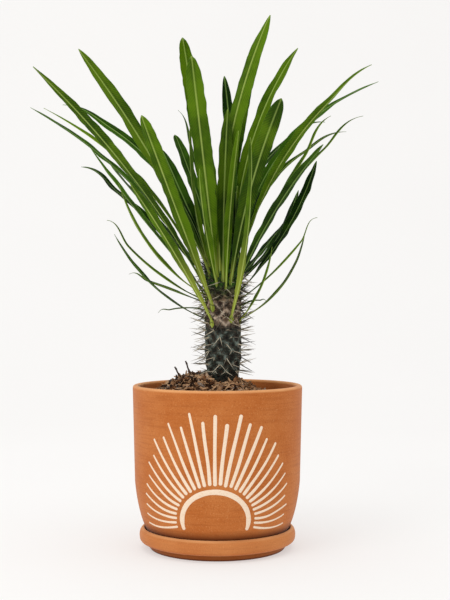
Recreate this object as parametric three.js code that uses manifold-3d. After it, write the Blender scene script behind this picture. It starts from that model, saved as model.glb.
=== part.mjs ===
/**
 * Young madagascar palm (Pachypodium lamerei) in a terracotta pot on a saucer.
 *
 * Millimetres, +Z up, front towards -Y. The origin lies on the floor under the
 * middle of the pot. Nothing moves: the saucer carries the pot, the pot holds
 * the potting mix, and the stem stands in the mix with its leaves seated on it.
 */
import * as THREE from 'three';
import { mergeVertices } from 'three/addons/utils/BufferGeometryUtils.js';
import Module from 'manifold-3d';

const wasm = await Module();
wasm.setup();

// ---- driving dimensions, mm ----
const TURN_STEPS = 48;
const RIM_R = 75;
const RIM_Z = 143.5;
const WALL = 5.5;
const FOOT_R = 52;
const BELLY_Z = 59;
const BELLY_R = 73;
const DRAIN_R = 6;
const POT_FLOOR_SET_IN = 4.4;
const MIX_FOOT_SET_IN = 1.6;

const SAUCER_H = 18.5;
const SAUCER_FLOOR = 7;
const SAUCER_FOOT_R = 60;

const GAP = 0.3;
const POT_FLOOR = SAUCER_FLOOR + WALL;
const MIX_EDGE_Z = 132;
const MIX_MOUND = 19;
const MIX_CENTRE_X = -6;
const MOUND_TOP_R = 32;
const MOUND_FOOT_R = 64;
const MIX_RINGS = 13;
const CHIP_RELIEF = 2.2;

const STEM_X = 5;
const STEM_R = 15.5;
const STEM_FOOT_R = 13.5;
const STEM_FOOT_Z = 118;
const STEM_SWELLS_FROM_Z = 150;
const STEM_SWELLS_TO_Z = 172;
const STEM_SHOULDER_Z = 245;
const STEM_TOP_Z = 283;
const STEM_STEPS = 36;
const TUBERCLE_RELIEF = 1.1;
const TUBERCLES_AROUND = 9;
const TUBERCLE_PITCH = 12;
const TUBERCLES_FROM_Z = 156;
const TUBERCLES_FADE_FROM_Z = 186;
const TUBERCLES_FADE_TO_Z = 198;

const SPINE_R = 0.7;
const SPINE_ROOT = 3;
const SPINE_SHORTEST = 14;
const SPINE_LONGEST = 17;
const SPINE_SPREAD = 0.56;
const SPINE_RISE = 0.35;
const SPINE_DROOP = 0.15;
const SPINES_TO_Z = 236;
const SPINE_CLEARANCE = 1.6;

const TWIG_R = 0.65;

const BLADE_STATIONS = [0, 0.05, 0.12, 0.22, 0.34, 0.46, 0.6, 0.74, 0.84, 0.91, 0.96, 1];
const BLADE_EDGE = 0.35;
const BLADE_RIB = 0.85;
const BLADE_FOLD = 0.2;
const BLADE_TIP_WIDTH = 0.9;
const STALK_SHARE = 0.38;
const OPEN_BY = 0.46;
const NARROWS_FROM = 0.68;
const TIP_ROUNDNESS = 0.62;

const CLAY = 0xb96a3c;
const BARK_MIX = 0x5a3826;
const STEM_BARK = 0x5c5346;
const DRY_WOOD = 0x3d2a1e;
const LIGHT = 0x7fa03a;
const MID = 0x4f7d2a;
const DARK = 0x24501f;

/**
 * Leaves: height of the seat on the stem, the tip, how far the midrib bows up off its
 * chord and how far it bows round the stem (anticlockwise seen from above), the greatest
 * width, the turn of the blade about its midrib at the tip end in degrees, and the tone.
 */
const LEAVES = [
  // low leaves, short and spreading
  [210, [-52, -10, 207], 3, 0, 4, 0, MID],
  [216, [-81, 30, 242], 0, 0, 6, -15, MID],
  [202, [-92, 5, 277], -10, 0, 7, -15, DARK],
  [218, [-95, -30, 287], -8, 0, 7, 5, MID],
  [201, [-70, -95, 313], 3, 0, 10, 5, LIGHT],
  [213, [43, -10, 217], 3, 0, 4, 0, MID],
  [201, [47, -35, 264], -3, 5, 7, 5, MID],
  [202, [80, 25, 282], -12, -4, 7, 10, MID],
  [220, [87, -20, 290], -5, 2, 6, -5, MID],
  // left side
  [220, [-128, 55, 343], 11, 0, 10, -10, DARK],
  [226, [-110, -20, 350], -2, -2, 9, 20, DARK],
  [222, [-84, -40, 318], -13, 0, 7, 10, MID],
  [234, [-147, -45, 381], 19, 0, 10, 5, LIGHT],
  [237, [-173, 40, 396], 15, 0, 11, -12, DARK],
  [227, [-151, -75, 410], 10, 1, 12, 15, MID],
  [242, [-117, 85, 396], 18, -2, 10, 10, MID],
  [250, [-146, 60, 402], 24, -6, 11, -25, DARK],
  [245, [-111, -95, 420], 8, 0, 14, 20, MID],
  // right side
  [227, [92, 50, 348], -7, -5, 12, 20, DARK],
  [233, [78, 95, 325], -5, -7, 10, -10, DARK],
  [228, [86, -90, 344], 8, 0, 11, 0, DARK],
  [236, [95, -60, 372], 5, 2, 9, 5, LIGHT],
  [243, [125, -35, 376], 12, -1, 9, 0, MID],
  [252, [116, 15, 370], 23, 2, 9, 10, MID],
  [247, [102, 75, 388], 28, 5, 10, -15, DARK],
  [258, [147, 30, 418], 28, 5, 10, 15, DARK],
  [252, [133, -30, 421], 19, -2, 11, -15, LIGHT],
  // front, upright
  [205, [27, -95, 349], 0, 6, 10, 45, LIGHT],
  [235, [-14, -85, 325], 3, -3, 10, -45, LIGHT],
  [216, [-60, -100, 366], 2, -2, 13, 10, LIGHT],
  [251, [-23, -40, 366], -3, -4, 11, -30, LIGHT],
  [232, [18, -50, 361], 3, -1, 9, 40, LIGHT],
  [240, [9, -35, 382], 0, -1, 10, -20, MID],
  [239, [53, -75, 384], 5, -2, 14, -25, MID],
  [243, [-21, -70, 420], 0, 0, 15, 20, LIGHT],
  [251, [45, -45, 460], 10, -7, 15.5, -25, LIGHT],
  // middle and back, upright
  [250, [-54, 85, 363], 0, 0, 13, -15, DARK],
  [256, [-42, 95, 379], 0, -2, 13, 15, DARK],
  [256, [-36, 25, 391], 7, 0, 9, 10, DARK],
  [266, [6, 70, 431], -2, -5, 11, -40, DARK],
  [261, [74, 40, 451], 15, 2, 13.5, 5, MID],
  [265, [-33, 50, 463], 0, -1, 14, -20, MID],
  // back
  [229, [70, 115, 300], -4, 3, 9, -20, DARK],
  [243, [25, 145, 335], 0, 2, 10, -20, DARK],
  [234, [-105, 105, 350], 0, 0, 10, 15, DARK],
  [252, [35, 125, 355], 0, 3, 10, -35, DARK],
  [249, [-15, 155, 365], -7, 0, 11, 15, DARK],
  [240, [65, 115, 370], 7, 2, 11, -10, DARK],
  [243, [-75, 115, 375], 3, -3, 12, 0, MID],
  [265, [-20, 115, 430], -2, 0, 12, 10, MID],
  [256, [35, 100, 450], 4, 4, 12, -5, MID],
];

/** Dry twigs: the end in the mix and the free end. */
const TWIGS = [
  [[-19.5, -14, 143], [-28, -14, 165]],
  [[-27, -15, 142], [-37.5, -14, 160]],
];

/** Seeded draws between 0 and 1 (mulberry32). */
function seededDraws(seed) {
  let state = seed;
  return () => {
    state = (state + 0x6d2b79f5) | 0;
    let mixed = Math.imul(state ^ (state >>> 15), 1 | state);
    mixed = (mixed + Math.imul(mixed ^ (mixed >>> 7), 61 | mixed)) ^ mixed;
    return ((mixed ^ (mixed >>> 14)) >>> 0) / 4294967296;
  };
}

/** Merges shared vertices, drops collapsed triangles and turns the faces outwards. */
function weld(geometry) {
  const bare = geometry.clone();
  bare.deleteAttribute('normal');
  bare.deleteAttribute('uv');
  const merged = mergeVertices(bare, 1e-4);
  const index = Array.from(merged.index.array);
  const kept = [];
  const corner = [new THREE.Vector3(), new THREE.Vector3(), new THREE.Vector3()];
  let volume = 0;
  for (let i = 0; i < index.length; i += 3) {
    const [a, b, c] = index.slice(i, i + 3);
    if (a === b || b === c || c === a) continue;
    corner.forEach((point, k) => point.fromBufferAttribute(merged.attributes.position, index[i + k]));
    volume += corner[0].dot(corner[1].clone().cross(corner[2]));
    kept.push(a, b, c);
  }
  merged.setIndex(volume < 0 ? kept.reverse() : kept);
  return merged;
}

/** Closed geometry to a solid that can be joined and cut. */
function toSolid(geometry) {
  const closed = weld(geometry);
  return new wasm.Manifold(new wasm.Mesh({
    numProp: 3,
    vertProperties: new Float32Array(closed.attributes.position.array),
    triVerts: new Uint32Array(closed.index.array),
  }));
}

/** Solid back to a geometry. */
function toGeometry(solid) {
  const mesh = solid.getMesh();
  const geometry = new THREE.BufferGeometry();
  geometry.setAttribute('position', new THREE.BufferAttribute(new Float32Array(mesh.vertProperties), 3));
  geometry.setIndex(Array.from(mesh.triVerts));
  return geometry;
}

/** Turns a profile of radius and height about +Z. */
function turnedAboutZ(profile) {
  return new THREE.LatheGeometry(profile, TURN_STEPS).rotateX(Math.PI / 2);
}

/** Named mesh with a material of its own. */
function piece(name, geometry, color, roughness) {
  geometry.computeVertexNormals();
  const material = new THREE.MeshStandardMaterial({ color, roughness, metalness: 0 });
  const mesh = new THREE.Mesh(geometry, material);
  mesh.name = name;
  return mesh;
}

// ---- saucer ----

/** Shallow dish with a fat rolled rim on a narrower foot. */
function saucerGeometry() {
  const profile = new THREE.Path();
  profile.moveTo(0, 0);
  profile.lineTo(SAUCER_FOOT_R, 0);
  profile.quadraticCurveTo(63.5, 2.5, 65.4, 6.3);
  profile.bezierCurveTo(69.6, 7.5, 69.8, 16.5, 65.2, SAUCER_H);
  profile.bezierCurveTo(63.6, SAUCER_H, 63.4, 13, 62.6, 10);
  profile.quadraticCurveTo(62.2, SAUCER_FLOOR, 60, SAUCER_FLOOR);
  profile.lineTo(0, SAUCER_FLOOR);
  return turnedAboutZ(profile.getPoints(4));
}

// ---- pot and potting mix ----

/** Wall line that swells from the foot and runs up to the rim, set in from the outside. */
function wallLine(inset, floor, footInset) {
  const swell = new THREE.CubicBezierCurve(
    new THREE.Vector2(FOOT_R - footInset, floor),
    new THREE.Vector2(FOOT_R + 10 - inset, floor + 2),
    new THREE.Vector2(BELLY_R - 3 - inset, BELLY_Z / 2 - 1.5 + inset / 2),
    new THREE.Vector2(BELLY_R - inset, BELLY_Z),
  );
  return swell.getPoints(6);
}

/** Pot with a drain hole and a rounded lip; the profile closes on itself. */
function potGeometry() {
  const lip = WALL / 2;
  const innerR = RIM_R - WALL;
  const outerLip = new THREE.QuadraticBezierCurve(
    new THREE.Vector2(RIM_R, RIM_Z - lip),
    new THREE.Vector2(RIM_R, RIM_Z),
    new THREE.Vector2(RIM_R - lip, RIM_Z),
  );
  const innerLip = new THREE.QuadraticBezierCurve(
    new THREE.Vector2(RIM_R - lip, RIM_Z),
    new THREE.Vector2(innerR, RIM_Z),
    new THREE.Vector2(innerR, RIM_Z - lip),
  );
  const outside = [...wallLine(0, SAUCER_FLOOR, 0), ...outerLip.getPoints(3)];
  const innerWall = wallLine(WALL, POT_FLOOR, POT_FLOOR_SET_IN).reverse();
  const inside = [...innerLip.getPoints(3).slice(1), ...innerWall];
  const drain = [new THREE.Vector2(DRAIN_R, POT_FLOOR), new THREE.Vector2(DRAIN_R, SAUCER_FLOOR)];
  return turnedAboutZ([...outside, ...inside, ...drain, outside[0]]);
}

/** Height of the mounded mix above a point, before the chips roughen it. */
function mixHeight(x, y) {
  const away = Math.hypot(x - MIX_CENTRE_X, y);
  return MIX_EDGE_Z + MIX_MOUND * (1 - THREE.MathUtils.smoothstep(away, MOUND_TOP_R, MOUND_FOOT_R));
}

/** Mix that fills the pot, with plain holes for the stem and the twigs. */
function mixGeometry(twigs) {
  const wall = wallLine(WALL + GAP, POT_FLOOR, POT_FLOOR_SET_IN + MIX_FOOT_SET_IN);
  const edge = new THREE.Vector2(RIM_R - WALL - 2 * GAP, MIX_EDGE_Z - CHIP_RELIEF);
  const side = [new THREE.Vector2(0, POT_FLOOR), ...wall, edge];
  const top = [];
  for (let ring = 0; ring <= MIX_RINGS; ring += 1) {
    top.push(new THREE.Vector2(edge.x * (1 - ring / MIX_RINGS), MIX_EDGE_Z));
  }
  const profile = [...side, ...top];
  const geometry = turnedAboutZ(profile);
  const position = geometry.attributes.position;
  for (let i = 0; i < position.count; i += 1) {
    const row = i % profile.length;
    if (row < side.length) continue;
    const turn = Math.floor(i / profile.length) % TURN_STEPS;
    const isCentre = row === profile.length - 1;
    const chip = seededDraws(isCentre ? 1 : turn * 100 + row)();
    const lift = (chip - 0.5) * CHIP_RELIEF;
    position.setZ(i, mixHeight(position.getX(i), position.getY(i)) + lift);
  }
  const wellR = STEM_FOOT_R + GAP;
  const wellTop = RIM_Z + MIX_MOUND;
  const well = new THREE.CylinderGeometry(wellR, wellR, wellTop - STEM_FOOT_Z, STEM_STEPS);
  well.rotateX(Math.PI / 2).translate(STEM_X, 0, (wellTop + STEM_FOOT_Z) / 2);
  let solid = toSolid(geometry).subtract(toSolid(well));
  for (const [low, high] of twigs) {
    solid = solid.subtract(toSolid(rodGeometry(low, high, TWIG_R + GAP, GAP)));
  }
  return toGeometry(solid);
}

/** Straight six-sided rod between two points, with its lower end run on by a length. */
function rodGeometry(low, high, radius, runOn) {
  const from = new THREE.Vector3(...low);
  const along = new THREE.Vector3(...high).sub(from);
  const length = along.length();
  along.normalize();
  const rod = new THREE.CylinderGeometry(radius * 0.9, radius, length + runOn, 6);
  rod.applyQuaternion(new THREE.Quaternion().setFromUnitVectors(new THREE.Vector3(0, 1, 0), along));
  const middle = from.addScaledVector(along, (length - runOn) / 2);
  return rod.translate(middle.x, middle.y, middle.z);
}

// ---- leaves ----

/** Stem radius at a height, without tubercles: a foot, a thicker body and a domed top. */
function stemRadius(z) {
  const swell = THREE.MathUtils.smoothstep(z, STEM_SWELLS_FROM_Z, STEM_SWELLS_TO_Z);
  const body = THREE.MathUtils.lerp(STEM_FOOT_R, STEM_R, swell);
  const dome = Math.max(0, (z - STEM_SHOULDER_Z) / (STEM_TOP_Z - STEM_SHOULDER_Z));
  return body * Math.sqrt(Math.max(0, 1 - dome * dome));
}

/** Midrib from its seat on the stem to the tip, bowed off its chord by the arch and the sweep. */
function midrib(seatZ, tip, arch, sweep) {
  const root = new THREE.Vector3(STEM_X, 0, seatZ);
  const end = new THREE.Vector3(...tip);
  const chord = end.clone().sub(root);
  const level = new THREE.Vector3(-chord.y, chord.x, 0).normalize();
  const upward = chord.clone().normalize().cross(level);
  const bow = upward.multiplyScalar(2 * arch).addScaledVector(level, 2 * sweep);
  const heading = chord.multiplyScalar(0.5).add(bow).normalize();
  const outward = new THREE.Vector3(heading.x, heading.y, 0).normalize();
  const seatR = stemRadius(seatZ) + GAP + BLADE_RIB * heading.z;
  const seat = root.addScaledVector(outward, seatR);
  const handle = seat.clone().add(end).multiplyScalar(0.5).add(bow);
  return { curve: new THREE.QuadraticBezierCurve3(seat, handle, end), outward };
}

/** Blade width along the midrib: a narrow stalk, widest about the middle, a short tip. */
function bladeWidth(t, widest) {
  const opening = STALK_SHARE + (1 - STALK_SHARE) * THREE.MathUtils.smoothstep(t, -0.05, OPEN_BY);
  const closing = Math.max(0, (t - NARROWS_FROM) / (1 - NARROWS_FROM));
  return Math.max(BLADE_TIP_WIDTH, widest * opening * (1 - closing * closing) ** TIP_ROUNDNESS);
}

/** Thin blade, folded a little along its midrib and turning about it towards the tip. */
function leafGeometry({ seatZ, tip, arch, sweep, width, turn }) {
  const { curve, outward } = midrib(seatZ, tip, arch, sweep);
  const level = new THREE.Vector3(-outward.y, outward.x, 0);
  const vertices = [];
  for (const t of BLADE_STATIONS) {
    const centre = curve.getPoint(t);
    const along = curve.getTangent(t);
    const across = level.clone().addScaledVector(along, -level.dot(along)).normalize();
    const turned = THREE.MathUtils.smoothstep(t, 0, NARROWS_FROM);
    across.applyAxisAngle(along, THREE.MathUtils.degToRad(turn) * turned);
    const up = along.clone().cross(across);
    const half = bladeWidth(t, width) / 2;
    const fold = half * BLADE_FOLD * THREE.MathUtils.smoothstep(t, 0, 0.3);
    const rib = BLADE_EDGE + (BLADE_RIB - BLADE_EDGE) * Math.min(1, (half * 2) / 4);
    const section = [
      [-half, fold + BLADE_EDGE], [0, rib], [half, fold + BLADE_EDGE],
      [half, fold - BLADE_EDGE], [0, -rib], [-half, fold - BLADE_EDGE],
    ];
    for (const [side, lift] of section) {
      vertices.push(...centre.clone().addScaledVector(across, side).addScaledVector(up, lift));
    }
  }
  const geometry = new THREE.BufferGeometry();
  geometry.setAttribute('position', new THREE.BufferAttribute(new Float32Array(vertices), 3));
  geometry.setIndex(bladeFaces(BLADE_STATIONS.length));
  return geometry;
}

/** Triangles between six-point sections, split alike on the upper and lower face. */
function bladeFaces(stations) {
  const faces = [];
  for (let s = 0; s < stations - 1; s += 1) {
    const here = s * 6;
    const next = here + 6;
    for (let k = 0; k < 6; k += 1) {
      const l = (k + 1) % 6;
      if (k < 3) faces.push(here + k, here + l, next + l, here + k, next + l, next + k);
      else faces.push(here + k, here + l, next + k, here + l, next + l, next + k);
    }
  }
  const last = (stations - 1) * 6;
  for (const [a, b, c] of [[0, 4, 1], [0, 5, 4], [1, 4, 2], [2, 4, 3]]) {
    faces.push(a, b, c);
    faces.push(last + a, last + c, last + b);
  }
  return faces;
}

// ---- stem ----

/** Stem surface with a staggered lattice of low tubercles, winding slowly upwards. */
function stemBody() {
  const heights = [STEM_FOOT_Z, 140, STEM_SWELLS_FROM_Z + 2];
  for (let z = TUBERCLES_FROM_Z; z < STEM_SHOULDER_Z; z += TUBERCLE_PITCH / 4) {
    heights.push(z);
  }
  for (let step = 1; step <= 7; step += 1) {
    const rise = Math.sin((step / 7) * Math.PI / 2);
    heights.push(STEM_SHOULDER_Z + (STEM_TOP_Z - STEM_SHOULDER_Z) * rise);
  }
  const profile = heights.map((z) => new THREE.Vector2(stemRadius(z), z));
  profile[profile.length - 1].x = 0;
  profile.unshift(new THREE.Vector2(0, STEM_FOOT_Z));
  const geometry = new THREE.LatheGeometry(profile, STEM_STEPS).rotateX(Math.PI / 2);
  const position = geometry.attributes.position;
  for (let i = 0; i < position.count; i += 1) {
    const x = position.getX(i);
    const y = position.getY(i);
    const z = position.getZ(i);
    const radius = Math.hypot(x, y);
    if (radius < 1 || z < TUBERCLES_FROM_Z) continue;
    const swell = 1 + (TUBERCLE_RELIEF * tubercle(Math.atan2(y, x), z)) / radius;
    position.setXY(i, x * swell, y * swell);
  }
  return geometry.translate(STEM_X, 0, 0);
}

/** Tubercle lattice: 1 on a crest, 0 in a hollow, fading out under the leaf crown. */
function tubercle(angle, z) {
  const around = TUBERCLES_AROUND * angle;
  const upward = (2 * Math.PI * (z - TUBERCLES_FROM_Z)) / TUBERCLE_PITCH;
  const fade = 1 - THREE.MathUtils.smoothstep(z, TUBERCLES_FADE_FROM_Z, TUBERCLES_FADE_TO_Z);
  return fade * (0.5 + 0.5 * Math.cos(around) * Math.cos(upward));
}

/** Slender three-sided spine with its root sunk in the stem. */
function spineGeometry(crest, direction, length) {
  const spine = new THREE.ConeGeometry(SPINE_R, length + SPINE_ROOT, 3);
  spine.applyQuaternion(new THREE.Quaternion().setFromUnitVectors(new THREE.Vector3(0, 1, 0), direction));
  const middle = crest.clone().addScaledVector(direction, (length - SPINE_ROOT) / 2);
  return spine.translate(middle.x, middle.y, middle.z);
}

/** True where a spine stays clear of every leaf. */
function clearOfLeaves(crest, direction, length, ribs) {
  for (const { points, halfWidths } of ribs) {
    for (let along = -1; along <= length + 1; along += 1.5) {
      const point = crest.clone().addScaledVector(direction, along);
      for (let k = 0; k < points.length; k += 1) {
        if (point.distanceTo(points[k]) < halfWidths[k] + SPINE_CLEARANCE) return false;
      }
    }
  }
  return true;
}

/** Points along every midrib near the stem, with the blade's half width there. */
function ribSamples(leaves) {
  return leaves.map(({ seatZ, tip, arch, sweep, width }) => {
    const { curve } = midrib(seatZ, tip, arch, sweep);
    const places = Array.from({ length: 41 }, (_, k) => k / 80);
    return {
      points: places.map((t) => curve.getPoint(t)),
      halfWidths: places.map((t) => bladeWidth(t, width) / 2),
    };
  });
}

/** Stem with a splayed spine on each tubercle crest, to the left and right in turn, fused into one body. */
function stemGeometry(leaves) {
  const draw = seededDraws(11);
  const ribs = ribSamples(leaves);
  const solids = [toSolid(stemBody())];
  const rows = Math.floor((SPINES_TO_Z - TUBERCLES_FROM_Z) / (TUBERCLE_PITCH / 2));
  for (let row = 0; row <= rows; row += 1) {
    const z = TUBERCLES_FROM_Z + (row * TUBERCLE_PITCH) / 2;
    for (let k = 0; k < TUBERCLES_AROUND; k += 1) {
      const bearing = ((k + (row % 2) / 2) * 2 * Math.PI) / TUBERCLES_AROUND;
      const side = (row + k) % 2 === 0 ? 1 : -1;
      const outward = new THREE.Vector3(Math.cos(bearing), Math.sin(bearing), 0);
      const level = new THREE.Vector3(-outward.y, outward.x, 0);
      const direction = outward.clone()
        .addScaledVector(level, side * SPINE_SPREAD * (0.7 + 0.6 * draw()))
        .setZ(row === 0 ? SPINE_RISE : THREE.MathUtils.lerp(-SPINE_DROOP, SPINE_RISE, draw()))
        .normalize();
      const length = SPINE_SHORTEST + (SPINE_LONGEST - SPINE_SHORTEST) * draw();
      const crest = new THREE.Vector3(STEM_X, 0, z).addScaledVector(outward, stemRadius(z));
      if (!clearOfLeaves(crest, direction, length, ribs)) continue;
      solids.push(toSolid(spineGeometry(crest, direction, length)));
    }
  }
  return toGeometry(wasm.Manifold.union(solids));
}

// ---- assembly ----

const leaves = LEAVES.map(([seatZ, tip, arch, sweep, width, turn, tone]) => (
  { seatZ, tip, arch, sweep, width, turn, tone }
));
const palm = new THREE.Group();
palm.add(piece('saucer', weld(saucerGeometry()), CLAY, 0.85));
palm.add(piece('pot', weld(potGeometry()), CLAY, 0.85));
palm.add(piece('potting_mix', mixGeometry(TWIGS), BARK_MIX, 1));
palm.add(piece('trunk', stemGeometry(leaves), STEM_BARK, 0.8));
TWIGS.forEach(([low, high], index) => {
  palm.add(piece(`twig_${index + 1}`, weld(rodGeometry(low, high, TWIG_R, 0)), DRY_WOOD, 0.9));
});
leaves.forEach((leaf, index) => {
  const name = `leaf_${String(index + 1).padStart(2, '0')}`;
  palm.add(piece(name, weld(leafGeometry(leaf)), leaf.tone, 0.5));
});

export default palm;
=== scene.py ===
"""Madagascar palm in a terracotta pot on its saucer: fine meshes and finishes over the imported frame.

Sizes are millimetres with +Z up and the front towards -Y; meshes are in metres. A surface is worked
out with numpy as a whole grid of points. A finish is a node material that reads Object coordinates or
the values that its mesh carries.
"""
import logging
import math
from collections.abc import Iterator
from dataclasses import dataclass, field
from enum import Enum

import bpy
import numpy as np
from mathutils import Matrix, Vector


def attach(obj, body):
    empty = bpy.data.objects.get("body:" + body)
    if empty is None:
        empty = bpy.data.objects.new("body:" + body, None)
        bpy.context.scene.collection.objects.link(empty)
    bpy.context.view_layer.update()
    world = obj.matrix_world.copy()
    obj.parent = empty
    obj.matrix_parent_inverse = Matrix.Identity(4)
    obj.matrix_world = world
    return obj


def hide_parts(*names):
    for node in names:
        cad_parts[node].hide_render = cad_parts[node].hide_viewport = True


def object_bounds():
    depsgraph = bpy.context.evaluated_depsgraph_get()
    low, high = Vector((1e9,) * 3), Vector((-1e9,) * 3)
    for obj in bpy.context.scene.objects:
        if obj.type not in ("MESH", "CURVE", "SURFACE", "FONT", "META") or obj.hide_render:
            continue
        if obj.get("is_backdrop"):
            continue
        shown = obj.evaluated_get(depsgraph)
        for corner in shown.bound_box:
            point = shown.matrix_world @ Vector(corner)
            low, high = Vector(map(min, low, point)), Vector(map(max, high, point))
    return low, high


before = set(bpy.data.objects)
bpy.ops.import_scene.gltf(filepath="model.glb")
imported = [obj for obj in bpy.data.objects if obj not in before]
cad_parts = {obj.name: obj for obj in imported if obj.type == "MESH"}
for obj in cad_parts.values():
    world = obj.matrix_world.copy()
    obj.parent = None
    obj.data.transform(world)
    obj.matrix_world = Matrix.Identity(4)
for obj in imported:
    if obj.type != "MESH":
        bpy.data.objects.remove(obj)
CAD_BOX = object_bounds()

LOG = logging.getLogger("madagascar_palm")
MM = 0.001
BODY = "root"

Grid = np.ndarray
Values = dict[str, np.ndarray]
Span = tuple[float, float]
ProfilePoint = tuple[float, float]
Place = tuple[float, float, float]
Start = tuple[bpy.types.Material, bpy.types.NodeTree, bpy.types.Node]


# ---- measures and curves ----

def linear(code: str) -> tuple[float, float, float, float]:
    """Turns an sRGB hex colour such as #C27A48 into linear light.

    Args:
        code: the colour, as # and six hex digits.

    Returns:
        Red, green and blue in linear light, and an alpha of 1.
    """
    channels = [int(code[i:i + 2], 16) / 255 for i in (1, 3, 5)]
    lit = [c / 12.92 if c <= 0.04045 else ((c + 0.055) / 1.055) ** 2.4 for c in channels]
    return (*lit, 1.0)


def per_metre(size_mm: float) -> float:
    """Texture scale at which one cell of a pattern measures size_mm."""
    return 1.0 / (size_mm * MM)


def smoothstep(x: Grid | float, low: float, high: float) -> Grid:
    """3 s^2 - 2 s^3, where s is how far x lies between low and high, held to 0 and 1."""
    share = np.clip((x - low) / (high - low), 0.0, 1.0)
    return share * share * (3.0 - 2.0 * share)


def unit(vectors: Grid) -> Grid:
    """Vectors along the last axis, brought to length 1."""
    return vectors / np.maximum(np.linalg.norm(vectors, axis=-1, keepdims=True), 1e-9)


def bezier(handles: list[ProfilePoint], count: int) -> Grid:
    """Points on a Bezier curve, by repeated halfway blends of its handles.

    Args:
        handles: end points and control points, as radius and height.
        count: how many points to take, ends included.

    Returns:
        Array of count by 2.
    """
    share = np.linspace(0.0, 1.0, count)[:, None]
    levels = [np.array(handle, float) * np.ones((count, 1)) for handle in handles]
    while len(levels) > 1:
        levels = [a * (1.0 - share) + b * share for a, b in zip(levels, levels[1:])]
    return levels[0]


# ---- meshes ----

@dataclass
class Surface:
    """Points in mm, the faces between them, and the values that the points carry."""

    points: Grid
    quads: Grid
    triangles: Grid
    values: Values = field(default_factory=dict)

    def joined(self, other: "Surface") -> "Surface":
        """This surface and another as one, with the other's point numbers moved on."""
        shift = len(self.points)
        return Surface(
            np.concatenate([self.points, other.points]),
            np.concatenate([self.quads, other.quads + shift]),
            np.concatenate([self.triangles, other.triangles + shift]),
            {name: np.concatenate([self.values[name], other.values[name]]) for name in self.values},
        )


def closed_bodies(rings: Grid, values: Values | None = None, looped: bool = False) -> Surface:
    """Closes stacks of rings into bodies that face outwards.

    Neighbouring points of neighbouring rings make a quad. The first and last ring close on their mean
    point; in a looped body the last ring joins the first. Where the enclosed volume (the sum of
    a . (b x c) over the faces) comes out negative, all the faces are turned.

    Args:
        rings: n bodies by m rings by k points by 3, in mm.
        values: named values of n by m by k.
        looped: True where the stack closes on itself.

    Returns:
        The n bodies as one surface.
    """
    n, m, k, _ = rings.shape
    ends = rings[:, :0, 0] if looped else rings[:, [0, -1]].mean(axis=2)
    points = np.concatenate([rings.reshape(n, m * k, 3), ends], axis=1)
    number = np.arange(n)[:, None, None] * points.shape[1] + np.arange(m * k).reshape(m, k)
    above = np.roll(number, -1, axis=1)
    faces = np.stack([number, np.roll(number, -1, axis=2), np.roll(above, -1, axis=2), above], axis=-1)
    quads = faces[:, :m if looped else m - 1].reshape(-1, 4)
    triangles = np.zeros((0, 3), int)
    if not looped:
        low_pole = np.broadcast_to(number[:, 0, :1] + m * k, (n, k))
        low, high = number[:, 0], number[:, -1]
        low_fan = np.stack([low_pole, np.roll(low, -1, axis=1), low], axis=-1)
        high_fan = np.stack([low_pole + 1, high, np.roll(high, -1, axis=1)], axis=-1)
        triangles = np.concatenate([low_fan, high_fan]).reshape(-1, 3)
    flat = points.reshape(-1, 3)
    split = np.concatenate([quads[:, [0, 1, 2]], quads[:, [0, 2, 3]], triangles])
    a, b, c = (flat[split[:, corner]] for corner in range(3))
    if np.einsum("ij,ij->", a - flat[0], np.cross(b - flat[0], c - flat[0])) < 0:
        quads = quads[:, ::-1]
        triangles = triangles[:, ::-1]
    carried = {}
    for name, grid in (values or {}).items():
        caps = grid[:, :0, 0] if looped else grid[:, [0, -1]].mean(axis=2)
        carried[name] = np.concatenate([grid.reshape(n, m * k), caps], axis=1).ravel()
    return Surface(flat, quads, triangles, carried)


def turned(profile: Grid, steps: int, looped: bool = False) -> Grid:
    """Rings of a profile turned about +Z: x = r cos a, y = r sin a, z = z.

    Args:
        profile: radius and height of each ring.
        steps: points round each ring.
        looped: True where the profile closes on itself and its last point is left off.

    Returns:
        Rings of 1 by m by steps by 3.
    """
    rows = profile[:-1] if looped else profile
    angle = np.linspace(0.0, 2.0 * np.pi, steps, endpoint=False)
    radius, height = rows[:, :1], rows[:, 1:]
    ring = np.stack([radius * np.cos(angle), radius * np.sin(angle), height + 0.0 * angle], axis=-1)
    return ring[None]


def tubes(paths: Grid, radii: Grid, sides: int) -> Grid:
    """Rings of radius r about each path: p + r (cos a n + sin a b), with n and b square to the path.

    Args:
        paths: n paths by m points by 3.
        radii: n by m.
        sides: points round each ring.

    Returns:
        Rings of n by m by sides by 3.
    """
    along = unit(np.gradient(paths, axis=1))
    spare = np.where(np.abs(along[:, :1, 2:]) > 0.8, [1.0, 0.0, 0.0], [0.0, 0.0, 1.0])
    normal = unit(np.cross(along, spare + 0.0 * along))
    other = np.cross(along, normal)
    angle = np.linspace(0.0, 2.0 * np.pi, sides, endpoint=False)[:, None]
    spokes = np.cos(angle) * normal[:, :, None] + np.sin(angle) * other[:, :, None]
    return paths[:, :, None] + radii[:, :, None, None] * spokes


def waves(seed: int, terms: int, longest: float, shortest: float, *places: Grid) -> Grid:
    """Smooth seeded unevenness of about -1 to 1: a mean of cosines of random direction and phase.

    Args:
        seed: start of the draws.
        terms: number of cosines.
        longest: longest wavelength, in the places' own units.
        shortest: shortest wavelength.
        places: the coordinates, each one array of the same shape.

    Returns:
        Array of that shape.
    """
    draw = np.random.default_rng(seed)
    heading = unit(draw.normal(size=(terms, len(places))))
    pitch = 2.0 * np.pi / draw.uniform(shortest, longest, terms)
    phase = draw.uniform(0.0, 2.0 * np.pi, terms)
    angle = np.tensordot(heading * pitch[:, None], np.stack(places), axes=1)
    return np.cos(angle + phase.reshape(-1, *[1] * places[0].ndim)).sum(axis=0) / math.sqrt(terms)


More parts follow.
